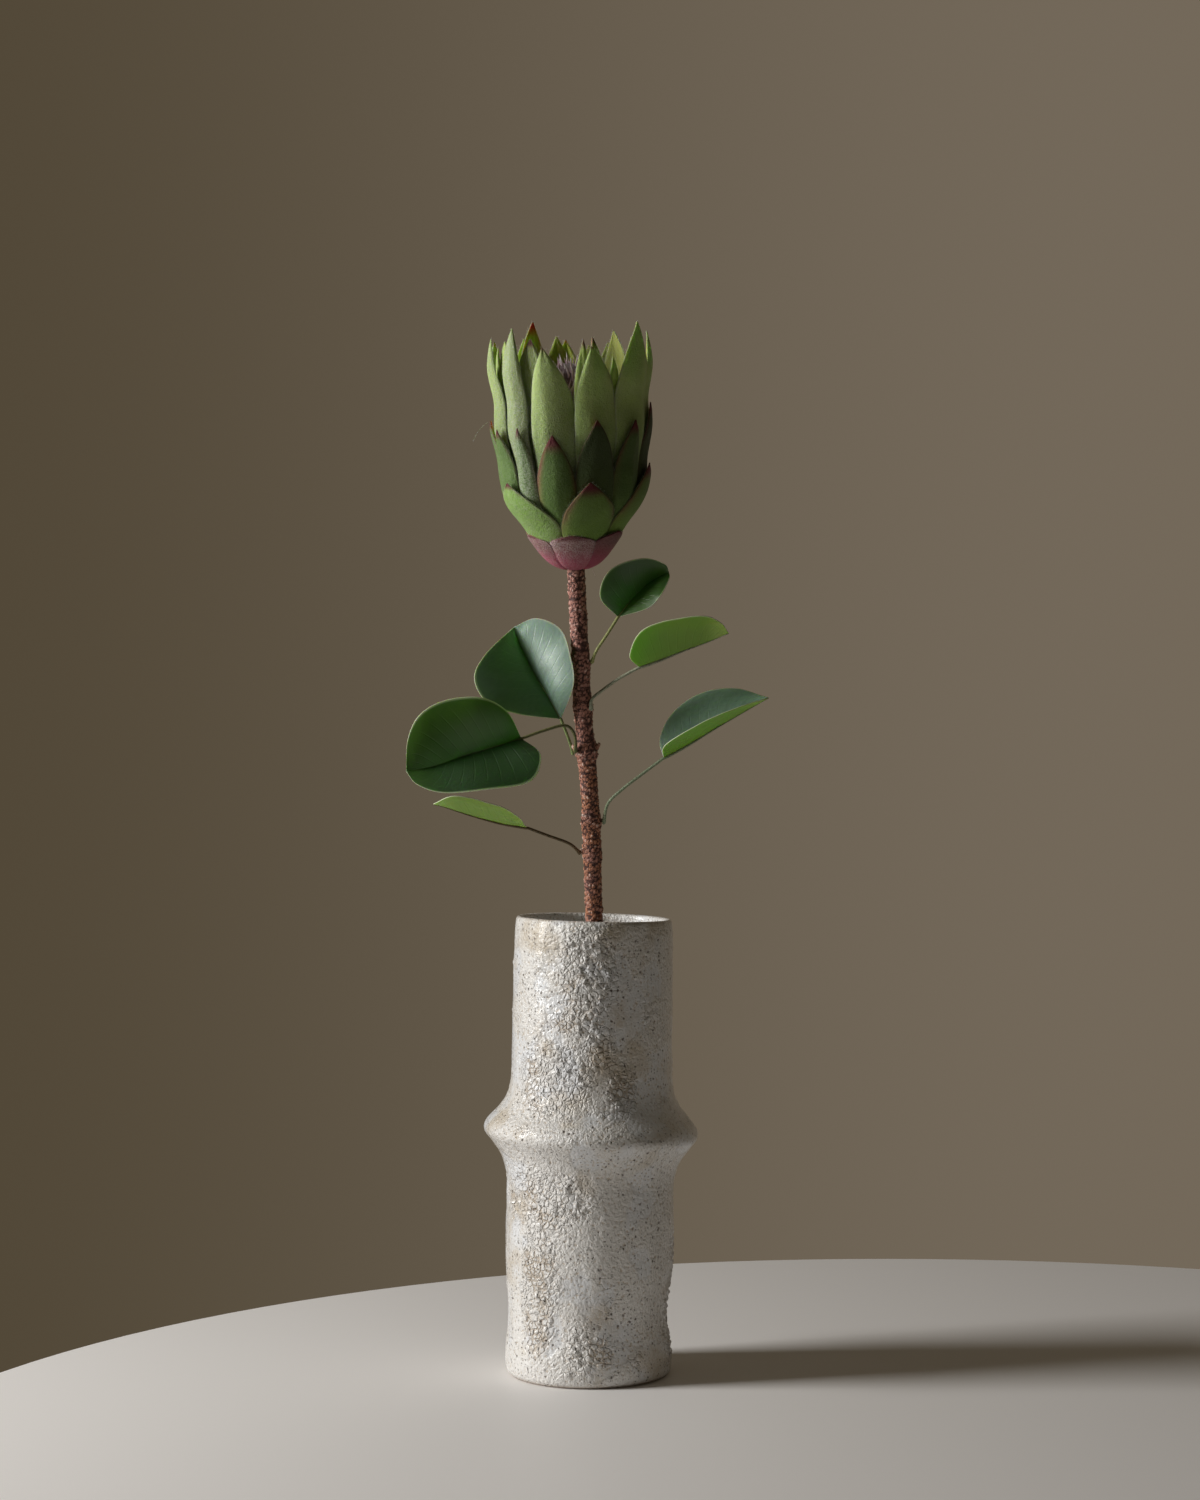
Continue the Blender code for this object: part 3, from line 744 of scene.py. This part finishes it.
OUTER_PETAL_BRACTS = [
    (-73, -93, -61, 140, 0, 0.0, 0.6, 0.08),
    (-44, -61, -35, 147, 0, 0.0, 0.9, 0.25),
    (-18, -30, 4, 136, 4, 0.0, 0.4, 0.0),
    (17, 4, 39, 136, 3, 0.0, 0.2, 0.0),
    (64, 39, 76, 148, 0, 0.0, 0.2, 0.0),
    (86, 76, 103, 141, 0, 0.0, 0.3, 0.0),
    (118, 103, 134, 137, 2, 0.0, 0.3, 0.4),
    (150, 134, 166, 132, 0, 0.0, 0.4, 0.4),
    (182, 166, 198, 134, 3, 0.0, 0.3, 0.0),
    (214, 198, 231, 136, 0, 0.0, 0.3, 0.0),
    (248, 231, 267, 136, 2, 0.0, 0.4, 0.0),
]
INNER_PETAL_BRACTS = [
    (-94, -109, -79, 134, 0, 0.0, 0.3, 0.0),
    (-64, -79, -49, 139, 0, 0.0, 0.3, 0.0),
    (-32, -49, -17, 141, 8, 0.0, 0.9, 0.0),
    (13, 5, 17, 140, 6, 0.0, 0.1, 0.0),
    (21, 17, 32, 141, 7, 0.0, 0.1, 0.0),
    (38, 32, 48, 129, 0, 0.0, 0.0, 0.0),
    (66, 48, 85, 139, 0, 0.0, 0.2, 0.0),
    (103, 85, 120, 136, 4, 0.0, 0.3, 0.4),
    (137, 120, 150, 140, 0, 0.0, 0.2, 0.5),
    (163, 150, 175, 131, 0, 0.0, 0.3, 0.3),
    (190, 175, 201, 137, 0, 0.0, 0.3, 0.2),
    (212, 201, 226, 147, 10, 0.0, 0.0, 0.0),
    (240, 226, 251, 134, 3, 0.0, 0.3, 0.0),
]
# Each row: its nodes' name, bracts and slot; the length of the taper to the point; how far the sides
# curl in, how high the ridge stands and how close the points lie to the next row; how much deeper the row
# sits than its layer; how much light comes through; and its colours: low down, high up and of its down and
# painted sheen.
ROWS = [
    {
        "name": "base_bract", "bracts": BASE_BRACTS, "slot": "base_bracts",
        "taper": 8.0, "curl": 0.4, "ridge": 0.1, "hug": 3.6, "deeper": 0.0, "glow": 0.15,
        "low": (0.44, 0.045, 0.115), "high": (0.22, 0.060, 0.065), "down": (0.66, 0.55, 0.54),
    },
    {
        "name": "lower_bract", "bracts": LOWER_BRACTS, "slot": "lower_bracts",
        "taper": 44.0, "curl": 1.2, "ridge": 1.6, "hug": 2.4, "deeper": 0.0, "glow": 0.15,
        "low": (0.24, 0.44, 0.050), "high": (0.20, 0.38, 0.040), "down": DOWN,
    },
    {
        "name": "middle_bract", "bracts": MIDDLE_BRACTS, "slot": "middle_bracts",
        "taper": 42.0, "curl": 1.0, "ridge": 2.2, "hug": 1.8, "deeper": 0.0, "glow": 0.15,
        "low": (0.10, 0.20, 0.022), "high": (0.095, 0.18, 0.021), "down": DOWN,
    },
    {
        "name": "outer_petal_bract", "bracts": OUTER_PETAL_BRACTS, "slot": "outer_petals",
        "taper": 46.0, "curl": 0.8, "ridge": 4.0, "hug": 0.0, "deeper": 0.0, "glow": 0.35,
        "low": (0.09, 0.165, 0.022), "high": (0.45, 0.59, 0.18), "down": DOWN,
    },
    {
        "name": "inner_petal_bract", "bracts": INNER_PETAL_BRACTS, "slot": "inner_petals",
        "taper": 34.0, "curl": 1.4, "ridge": 1.4, "hug": 0.0, "deeper": 2.4, "glow": 0.4,
        "low": (0.22, 0.34, 0.05), "high": (0.42, 0.55, 0.14), "down": DOWN,
    },
]
# Long loose hairs: the bract each one grows on, and its line.
STRAY_HAIRS = {
    "middle_bract_1": [(-49.5, -1.0, 90.0), (-53.0, -2.0, 87.5), (-57.0, -2.5, 83.0), (-59.5, -2.0, 78.0)],
    "base_bract_1": [(9.0, -8.5, 2.5), (10.0, -9.0, 0.0), (10.6, -9.5, -2.5), (11.8, -9.5, -5.5)],
}
BRACT_UP = 44
BRACT_ACROSS = 22


def row_depth(row, height):
    """How far inside the head's outline a row lies: one layer for each row that still covers it."""
    depth = 0.0
    for covering in ROWS[:row]:
        top = max(bract[3] for bract in covering["bracts"])
        depth += LAYER * ease((top + FLARE - height) / FLARE)
    return depth


def row_curve(row):
    """The centre line of a row's bracts, as radius and height, with its outward normals."""
    outline = smooth(HEAD_OUTLINE, 50)
    slope = np.gradient(outline, axis=0)
    slope /= np.linalg.norm(slope, axis=1)[:, None]
    normal = np.column_stack([slope[:, 1], -slope[:, 0]])
    depth = np.array([row_depth(row, height) for height in outline[:, 1]])
    line = outline - normal * depth[:, None]
    core = np.concatenate([np.linspace(a, b, 40) for a, b in zip(RECEPTACLE, RECEPTACLE[1:])])
    apart = np.linalg.norm(line[:, None] - core[None], axis=2).min(axis=1)
    first = int(np.flatnonzero(apart < SEAT)[-1]) + 1
    return line[first:], normal[first:]


def bract_look(name, low_colour, high_colour, red_colour, down_colour, glow):
    """Felted bract: green that changes up the bract, red point, rusty edge, grey down with a painted sheen,
    and painted shade.

    glow is how much light comes through from the other side."""
    look, tree, shader = material(name)
    place = node(tree, "TexCoord").outputs["Object"]
    rise = attribute(tree, "along")
    mottle = clouds(tree, place, 95, 4.0)
    felt = clouds(tree, place, 1500, 3.0)
    colour = blended(tree, ramp(tree, rise, 0.30, 0.80), low_colour, high_colour)
    colour = blended(tree, ramp(tree, mottle, 0.30, 0.70, 0.0, 0.22), colour, GREEN, "MULTIPLY")
    colour = blended(tree, ramp(tree, felt, 0.42, 0.62, 0.0, 0.05), colour, down_colour)
    colour = blended(tree, attribute(tree, "rust"), colour, RUST)
    # Painted shade on the bracts that lie in shade.
    colour = blended(tree, attribute(tree, "painted_shade"), colour, PAINTED_SHADE_COLOUR)
    colour = blended(tree, attribute(tree, "red"), colour, red_colour)
    # Partly real silky down and partly a painted sheen: the pale down colour, laid on most where the light
    # grazes the lit left bracts.
    silver_down_and_sheen = sums(tree, "MULTIPLY", attribute(tree, "down"), ramp(tree, felt, 0.36, 0.60, 0.15, 1.0))
    colour = blended(tree, silver_down_and_sheen, colour, down_colour)
    relief = bump(tree, sums(tree, "ADD", felt, clouds(tree, place, 420, 2.0)), 0.55)
    feed(tree, shader, Base_Color=colour, Roughness=0.68, Normal=relief, Specular_IOR_Level=0.3)
    feed(tree, shader, Sheen_Weight=0.1, Sheen_Roughness=0.4, Sheen_Tint=(0.92, 0.97, 0.85))
    feed(tree, shader, Subsurface_Weight=glow, Subsurface_Scale=1.0)
    shader.inputs["Subsurface Radius"].default_value = (0.0022, 0.0032, 0.0007)
    return look


def thickened(shape, name):
    """The sheet as a closed solid: thick down its middle and thin at its edges, from its vertex weights.

    Its faces get slot 0 in front, 1 behind and 2 round the edge."""
    mesh = bpy.data.meshes.new(name)
    weight_layer = shape.verts.layers.float["weight"]
    weights = [vertex[weight_layer] for vertex in shape.verts]
    shape.to_mesh(mesh)
    shape.free()
    sheet = bpy.data.objects.new(name, mesh)
    scene.collection.objects.link(sheet)
    group = sheet.vertex_groups.new(name="weight")
    for index, weight in enumerate(weights):
        group.add([index], weight, "REPLACE")
    shell = sheet.modifiers.new("thickness", "SOLIDIFY")
    shell.thickness = BRACT_MIDDLE * MM
    shell.offset = 0.0
    shell.vertex_group = group.name
    # The modifier's slot numbers stop at the slots that the mesh has.
    for _ in range(3):
        mesh.materials.append(None)
    shell.material_offset = 1
    shell.material_offset_rim = 2
    bpy.context.view_layer.update()
    solid = bmesh.new()
    solid.from_object(sheet, bpy.context.evaluated_depsgraph_get())
    bpy.data.objects.remove(sheet)
    return solid


def bract_shape(row, bract, seed, stray):
    """One bract: a ridged sheet bent round the head and narrowing to its point, with a fringe of hairs."""
    kind = ROWS[row]
    azimuth, left, right, top, red_length, rusty, downy, shade_amount = bract
    line, normal = row_curve(row)
    run = lengths(line)
    end = np.interp(top, line[:, 1], run)
    reach = max(azimuth - left, right - azimuth)
    wave = noise.noise(Vector((seed, 0.3, 0.7)))
    shape = bmesh.new()
    layers = float_layers(shape, "along", "rust", "painted_shade", "red", "down", "weight")
    bmesh.ops.create_grid(shape, x_segments=BRACT_ACROSS, y_segments=BRACT_UP, size=1.0)
    edges = {}
    for vertex in shape.verts:
        v = vertex.co.x
        u = (vertex.co.y + 1) / 2
        s = u * end
        left_to_go = end - s
        radius, height = (np.interp(s, run, values) for values in line.T)
        out_r, out_z = (np.interp(s, run, values) for values in normal.T)
        width = 1 - (1 - min(left_to_go / kind["taper"], 1.0)) ** TIP_TAPER
        width = max(width, TIP_WIDTH) * (FOOT_WIDTH + (1 - FOOT_WIDTH) * min(u * 3, 1.0))
        spread = azimuth - left if v < 0 else right - azimuth
        lap = math.degrees(SIDE_LAP / 2 / radius)
        ripple = 1 + 0.02 * noise.noise(Vector((seed, s / 9.0, 3 * v)))
        turn = v * width * (spread + lap) * ripple
        angle = math.radians(azimuth + turn)
        across = abs(turn / reach)
        slope = math.hypot(across, RIDGE_ROUND) - RIDGE_ROUND
        inset = (kind["curl"] * across**2.2 + kind["ridge"] * slope) * min(radius / HEAD_RADIUS, 1.0)
        fold = FOLD_DEPTH * noise.noise(Vector((seed + 4.0, s / 22.0, 1.6 * v)))
        inset += kind["deeper"] * ease(u * 2.0) - fold * ease(u * 1.4) + wave * 0.8 * ease(u - 0.6)
        inset += kind["hug"] * ease(u * 1.1)
        radius -= out_r * inset
        height -= out_z * inset
        vertex.co = Vector((math.sin(angle) * radius, -math.cos(angle) * radius, height)) * MM
        ragged = 0.5 + 0.5 * noise.noise(Vector((seed, s / 3.0, 4 * v)))
        rim = ease((abs(v) - 0.72) / 0.28)
        vertex[layers["along"]] = height / HEAD_OUTLINE[-1][1] if row else u
        vertex[layers["rust"]] = rusty * ease((-v - 0.50) / 0.48) * ease(u * 2 - 0.5) * (0.5 + 0.5 * ragged)
        # Painted shade, deepening towards the bract's point.
        vertex[layers["painted_shade"]] = shade_amount * (0.55 + 0.45 * ease(u * 1.6 - 0.3))
        tip_red = ease((red_length - left_to_go) / max(red_length * 0.7, 0.1)) if red_length else 0.0
        near_tip = ease((red_length * 3.2 - left_to_go) / 12.0) if red_length > 3 else 0.0
        line_red = ease((abs(v) - 0.90) / 0.09) * ease(u * 3 - 0.6) if row in (1, 2) else 0.0
        rim_red = 0.75 * rim * near_tip * (0.35 + 0.65 * ragged)
        vertex[layers["red"]] = max(tip_red, rim_red, 0.8 * line_red * ragged)
        felted = 0.8 + 0.4 * rim + 0.4 * ease(1 - u * 1.8) if row else 0.1 + 0.9 * u
        # Partly real down and partly painted sheen: each bract's share is largest on the lit left side of the
        # head.
        down_and_sheen_mask = min(downy * felted * (0.3 + 0.9 * ragged), 1.0) * (1 - 0.8 * tip_red)
        pale_line = 0.7 * ease((abs(v) - 0.90) / 0.1) * ease(u * 3 - 0.8) if row > 2 else 0.0
        vertex[layers["down"]] = max(down_and_sheen_mask, pale_line)
        thin = 1 - 0.72 * max(rim, ease(1 - left_to_go / 6.0))
        vertex[layers["weight"]] = thin
        if abs(v) > 0.999:
            edges.setdefault(v > 0, []).append((u, vertex.co / MM))
    middle = Vector((math.sin(math.radians(azimuth)), -math.cos(math.radians(azimuth)), 0.0))
    shape.normal_update()
    if sum((face.normal.dot(middle) for face in shape.faces), 0.0) < 0:
        bmesh.ops.reverse_faces(shape, faces=shape.faces)
    solid = thickened(shape, "bract_sheet")
    down = solid.verts.layers.float["down"]
    rise = solid.verts.layers.float["along"]
    for side, points in edges.items():
        points.sort(key=lambda point: point[0])
        margin = np.array([point for _, point in points])
        margin_run = lengths(margin)
        for start in np.arange(FRINGE_START * margin_run[-1], margin_run[-1], FRINGE_STEP):
            root = np.array([np.interp(start, margin_run, values) for values in margin.T])
            angle = math.atan2(root[0], -root[1])
            around = np.array([math.cos(angle), math.sin(angle), 0.0]) * (1 if side else -1)
            way = around * rng.uniform(0.3, 1.0) + np.array([0, 0, 1.0]) * rng.uniform(0.3, 1.1)
            hair = root + np.outer((-0.3, 0.0, 0.9, 1.0), way) * rng.uniform(0.5, 1.5)
            for vertex, *_ in add_tube(solid, hair, 3, lambda *_: FRINGE_HAIR):
                vertex[down] = 1.0
                vertex[rise] = root[2] / HEAD_OUTLINE[-1][1]
    if stray:
        for vertex, *_ in add_tube(solid, smooth(stray, 5), 4, lambda *_: FRINGE_HAIR):
            vertex[down] = 1.0
    joined(solid, 0.0005)
    solid.transform(head_frame)
    return solid


inside_look = bract_look("bract_inside", PETAL_INSIDE, PETAL_INSIDE, INSIDE_RED, DOWN, 0.6)
for row, kind in enumerate(ROWS):
    look = bract_look(kind["name"] + "_felt", kind["low"], kind["high"], MAROON, kind["down"], kind["glow"])
    for index, bract in enumerate(kind["bracts"]):
        cad_node = f"{kind['name']}_{index + 1}"
        solid = bract_shape(row, bract, 20.0 * row + index, STRAY_HAIRS.get(cad_node))
        piece_of(cad_node + "_felted", solid, [look, inside_look, look], kind["slot"], cad_node)


# The leaves: six leathery leaves, each one piece with its stalk, which grows out of a torn node of the stem.
# The upper side is dark and waxy, the under side a brighter yellow-green, and the edge is thin and pale.
STALK_RADIUS = 0.95
BLADE_THICKNESS = 0.62
STALK_SEAT = 1.0
STALK_START = 0.4
BLADE_ROWS = 56
BLADE_ACROSS = 28
STALK_ROWS = 60
STALK_SIDES = 12
# How far the stalk's run under the midrib lies below it, and how much thicker the stalk is at the stem.
RIB_BELOW = 0.35
STALK_FOOT = 0.5
BLADE_BELLY = 0.065
VEIN_COUNT = 13.0
# Each leaf also gives, for its left and right half, a share of painted sheen and a share of painted glow.
LEAVES = {
    "leaf_left_upper": {
        "node": (396, -105),
        "stalk": [(-12, -66, 404), (-17, -72, 417)],
        "rib": [(-25, -71, 431), (-35, -68, 448), (-43, -65, 464)],
        "left": [(-43, -78, 420), (-62, -81, 427), (-70, -80, 442), (-63, -77, 457)],
        "right": [(-9, -86, 438), (-11, -85, 456), (-17, -79, 472), (-32, -72, 479)],
        "tip": (-46, -66, 474),
        "upper": (0, -1, 0),
        "painted_sheen": (0.30, 0.85),
        "painted_glow": (0.1, 0.0),
        "stalk colour": (0.26, 0.34, 0.12),
    },
    "leaf_left_large": {
        "node": (397, -50),
        "stalk": [(-8.5, -74, 407), (-14, -77, 413), (-27, -79, 410), (-41, -80, 405)],
        "rib": [(-57, -82, 400), (-77, -84, 394), (-94, -87, 388)],
        "left": [(-50, -90, 422), (-66, -94, 430), (-88, -93, 428), (-103, -92, 419), (-110, -91, 404)],
        "right": [(-29, -92, 395), (-35, -98, 379), (-62, -101, 374), (-88, -98, 372), (-104, -94, 377)],
        "tip": (-111, -90, 385),
        "upper": (0, -1, 0),
        "painted_sheen": (0.0, 0.0),
        "painted_glow": (1.0, 0.0),
        "stalk colour": (0.17, 0.17, 0.06),
    },
    "leaf_left_lower": {
        "node": (334, -85),
        "stalk": [(-12, -58, 340), (-25, -62, 345), (-38, -66, 350)],
        "rib": [(-55, -68, 353), (-73, -71, 358), (-88, -75, 363)],
        "left": [(-44, -80, 358), (-58, -88, 365), (-81, -90, 370)],
        "right": [(-45, -54, 353), (-60, -50, 360), (-83, -54, 367)],
        "tip": (-95, -78, 365),
        "upper": (0, 0.2, 1),
        "painted_sheen": (0.0, 0.0),
        "painted_glow": (0.2, 0.2),
        "stalk colour": (0.14, 0.085, 0.035),
    },
    "leaf_right_upper": {
        "node": (452, 65),
        "stalk": [(5, -83, 459), (11, -85, 468), (18, -87, 479)],
        "rib": [(25, -87, 488), (34, -86, 497), (42, -87, 503)],
        "left": [(7, -95, 491), (13, -99, 507), (32, -99, 514), (46, -94, 511)],
        "right": [(36, -95, 484), (44, -98, 492), (49, -95, 502)],
        "tip": (49, -91, 506),
        "upper": (0, -1, 0),
        "painted_sheen": (0.0, 0.06),
        "painted_glow": (0.5, 1.0),
        "stalk colour": (0.36, 0.38, 0.12),
    },
    "leaf_right_middle": {
        "node": (423, 42),
        "stalk": [(2, -77.5, 429), (9, -78.5, 435), (19, -81, 442), (31, -84, 448.5)],
        "rib": [(44, -85, 453), (59, -87, 459), (73, -90, 464)],
        "left": [(25, -94, 456), (35, -101, 472), (67, -104, 479), (80, -100, 475)],
        "right": [(33, -74, 458), (43, -67, 468), (67, -68, 475), (79, -80, 473)],
        "tip": (85, -94, 469),
        "upper": (0, 0.3, 1),
        "painted_sheen": (0.0, 0.0),
        "painted_glow": (0.1, 0.1),
        "stalk colour": (0.40, 0.42, 0.30),
    },
    "leaf_right_lower": {
        "node": (353, 80),
        "stalk": [(12, -64, 365), (21, -69, 374), (34, -72, 384), (46, -75, 393)],
        "rib": [(59, -76, 400), (77, -77, 411), (96, -79, 422)],
        "left": [(46, -84, 400), (57, -91, 408), (76, -93, 418), (94, -90, 425)],
        "right": [(44, -68, 405), (52, -62, 421), (69, -60, 433), (90, -65, 436)],
        "tip": (110, -82, 430),
        "upper": (0, 0.3, 1),
        "painted_sheen": (0.0, 0.8),
        "painted_glow": (0.0, 0.0),
        "stalk colour": (0.27, 0.33, 0.20),
    },
}
LEAF_DARK = (0.024, 0.060, 0.018)
# Painted glow: the brighter yellow-green of light shining through the leaf, for the upper side.
LEAF_TOP_PAINTED_GLOW = (0.050, 0.125, 0.008)
LEAF_VEIN = (0.12, 0.21, 0.08)
LEAF_UNDER = (0.20, 0.345, 0.016)
# Painted glow of light shining through the leaf, for the under side.
LEAF_UNDER_PAINTED_GLOW = (0.46, 0.66, 0.12)
LEAF_UNDER_VEIN = (0.20, 0.33, 0.035)
LEAF_EDGE = (0.66, 0.74, 0.50)
# Painted sheen: the pale blue-green of the window's reflection on the waxy upper side.
LEAF_PAINTED_SHEEN = (0.33, 0.47, 0.39)


def vein_group():
    """A node group: the feathered side veins of a leaf blade, as a mask from 0 to 1."""
    group = bpy.data.node_groups.new("leaf_veins", "ShaderNodeTree")
    for name in ("Across", "Along", "Count"):
        group.interface.new_socket(name, in_out="INPUT", socket_type="NodeSocketFloat")
    group.interface.new_socket("Vein", in_out="OUTPUT", socket_type="NodeSocketFloat")
    given = group.nodes.new("NodeGroupInput")
    result = group.nodes.new("NodeGroupOutput")
    across = sums(group, "ABSOLUTE", given.outputs["Across"])
    bend = sums(group, "MULTIPLY", sums(group, "POWER", across, 0.8), 2.6)
    steps = sums(group, "MULTIPLY", given.outputs["Along"], given.outputs["Count"])
    phase = sums(group, "SUBTRACT", steps, bend)
    apart = sums(group, "ABSOLUTE", sums(group, "SUBTRACT", sums(group, "FRACT", phase), 0.5))
    side = sums(group, "MULTIPLY", ramp(group, apart, 0.09, 0.015), ramp(group, across, 0.95, 0.55))
    rib = ramp(group, across, 0.045, 0.02)
    group.links.new(sums(group, "MAXIMUM", side, rib), result.inputs["Vein"])
    return group


def leaf_look(name, veins, plain, painted_glow, vein_colour, gloss, depth):
    """One side of a leaf blade."""
    look, tree, shader = material(name)
    place = node(tree, "TexCoord").outputs["Object"]
    vein = tree.nodes.new("ShaderNodeGroup")
    vein.node_tree = veins
    tree.links.new(attribute(tree, "across"), vein.inputs["Across"])
    tree.links.new(attribute(tree, "along"), vein.inputs["Along"])
    vein.inputs["Count"].default_value = VEIN_COUNT
    mottle = clouds(tree, place, 60, 3.0)
    fine = clouds(tree, place, 700, 3.0)
    # Painted glow of light shining through the blade, in patches.
    patchy_glow = sums(tree, "MULTIPLY", attribute(tree, "painted_glow"), ramp(tree, mottle, 0.30, 0.70, 0.7, 1.0))
    colour = blended(tree, patchy_glow, plain, painted_glow)
    faint = ramp(tree, clouds(tree, place, 90, 2.0), 0.40, 0.75, 0.0, 0.22)
    colour = blended(tree, sums(tree, "MULTIPLY", vein.outputs["Vein"], faint), colour, vein_colour)
    # Painted sheen: the window's reflection, laid on the halves of the blade that face it.
    colour = blended(tree, attribute(tree, "painted_sheen"), colour, LEAF_PAINTED_SHEEN)
    colour = blended(tree, attribute(tree, "margin"), colour, LEAF_EDGE)
    raised = sums(tree, "MULTIPLY", vein.outputs["Vein"], depth)
    relief = sums(tree, "ADD", sums(tree, "MULTIPLY", fine, 0.35), raised)
    feed(tree, shader, Base_Color=colour, Roughness=ramp(tree, fine, 0.3, 0.7, gloss, gloss + 0.1))
    feed(tree, shader, Normal=bump(tree, relief, 0.16), Subsurface_Weight=0.5, Subsurface_Scale=1.0)
    feed(tree, shader, Coat_Weight=0.2, Coat_Roughness=0.38, Coat_Tint=(0.93, 1.0, 0.98))
    shader.inputs["Subsurface Radius"].default_value = (0.0016, 0.0030, 0.0005)
    return look


veins = vein_group()
upper_look = leaf_look("waxy_leaf_top", veins, LEAF_DARK, LEAF_TOP_PAINTED_GLOW, LEAF_VEIN, 0.33, -0.4)
under_look = leaf_look("leaf_under_side", veins, LEAF_UNDER, LEAF_UNDER_PAINTED_GLOW, LEAF_UNDER_VEIN, 0.42, 0.4)
edge_look, tree, shader = material("leaf_edge")
place = node(tree, "TexCoord").outputs["Object"]
feed(tree, shader, Base_Color=LEAF_EDGE, Roughness=ramp(tree, clouds(tree, place, 500), 0.3, 0.7, 0.35, 0.5))


def blade_shape(leaf, stalk):
    """The blade: a sheet bent along its midrib and its two edges, each half slightly bellied."""
    base = stalk[-1]
    rib, left, right = (smooth([base, *leaf[side], leaf["tip"]]) for side in ("rib", "left", "right"))
    shape = bmesh.new()
    layers = float_layers(shape, "across", "along", "weight", "painted_sheen", "painted_glow", "margin")
    bmesh.ops.create_grid(shape, x_segments=BLADE_ACROSS, y_segments=BLADE_ROWS, size=1.0)
    upward = Vector(leaf["upper"]).normalized()
    for vertex in shape.verts:
        v = math.copysign(ease(abs(vertex.co.x)), vertex.co.x)
        t = (vertex.co.y + 1) / 2
        middle = along(rib, t)
        edge = along(left if v < 0 else right, t)
        out = edge - middle
        width = np.linalg.norm(out)
        across = along(right, max(t, 0.08)) - along(left, max(t, 0.08))
        ahead = along(rib, min(t + 0.04, 1.0)) - along(rib, max(t - 0.04, 0.0))
        face = np.cross(across, ahead)
        face /= max(np.linalg.norm(face), 0.001)
        if face @ np.array(upward) < 0:
            face = -face
        belly = BLADE_BELLY * width * math.sin(math.pi * min(abs(v), 1.0))
        belly += 0.3 * noise.noise(Vector((v * 2, t * 7, base[0])))
        belly *= ease(t * 6) * ease((1 - t) * 6)
        point = middle + abs(v) ** 0.92 * out + face * belly
        vertex.co = Vector(point) * MM
        streak = 0.62 + 0.3 * t + 0.22 * noise.noise(Vector((v * 2.5, t * 45 - abs(v) * 14, base[0])))
        vertex[layers["across"]] = v
        vertex[layers["along"]] = t
        # Painted sheen on one half of the blade, streaked.
        vertex[layers["painted_sheen"]] = leaf["painted_sheen"][v > 0] * ease(abs(v) / 0.12) * streak
        # Painted glow of light through the blade: each half's share, rising to full towards the tip.
        vertex[layers["painted_glow"]] = min(leaf["painted_glow"][v > 0] + 0.8 * ease((t - 0.70) / 0.30), 1.0)
        vertex[layers["margin"]] = 0.75 * ease((abs(v) - 0.97) / 0.025)
        vertex[layers["weight"]] = BLADE_THICKNESS / BRACT_MIDDLE * (1 - 0.35 * ease((abs(v) - 0.85) / 0.15))
    joined(shape, 0.01)
    facing = sum((face.normal * face.calc_area() for face in shape.faces), Vector())
    if facing.dot(upward) < 0:
        bmesh.ops.reverse_faces(shape, faces=shape.faces)
    return thickened(shape, "blade_sheet"), rib


for name, leaf in LEAVES.items():
    foot, out = stem_side(*leaf["node"], STALK_SEAT)
    stalk = smooth([foot, foot + STALK_START * out, *leaf["stalk"]])
    solid, rib = blade_shape(leaf, stalk)
    below = -RIB_BELOW * np.array(Vector(leaf["upper"]).normalized())
    line = np.vstack([stalk, rib[1:] + below])
    line = along(line, np.linspace(0, 1, STALK_ROWS))
    line = np.vstack([line[0], line, line[-1]])
    run = lengths(line) / lengths(line)[-1]
    stalk_share = lengths(stalk)[-1] / (lengths(stalk)[-1] + lengths(rib)[-1])
    thin_from = stalk_share * 0.9
    radii = [STALK_RADIUS * (1.0 - 0.8 * ease((r - thin_from) / (1 - thin_from))) for r in run]
    radii = [radius * (1 + STALK_FOOT * math.exp(-((r / 0.03) ** 2))) for radius, r in zip(radii, run)]
    for vertex, *_ in add_tube(solid, line, STALK_SIDES, lambda row, _: radii[row]):
        for face in vertex.link_faces:
            face.material_index = 3
    joined(solid, 0.0005)
    stalk_look, tree, shader = material(name + "_stalk")
    place = node(tree, "TexCoord").outputs["Object"]
    grain = clouds(tree, place, 800, 3.0)
    colour = blended(tree, ramp(tree, grain, 0.35, 0.7, 0.0, 0.5), leaf["stalk colour"], LEAF_DARK)
    feed(tree, shader, Base_Color=colour, Roughness=0.5, Normal=bump(tree, grain, 0.2))
    piece_of(name + "_blade", solid, [upper_look, under_look, edge_look, stalk_look], "leaves", name)
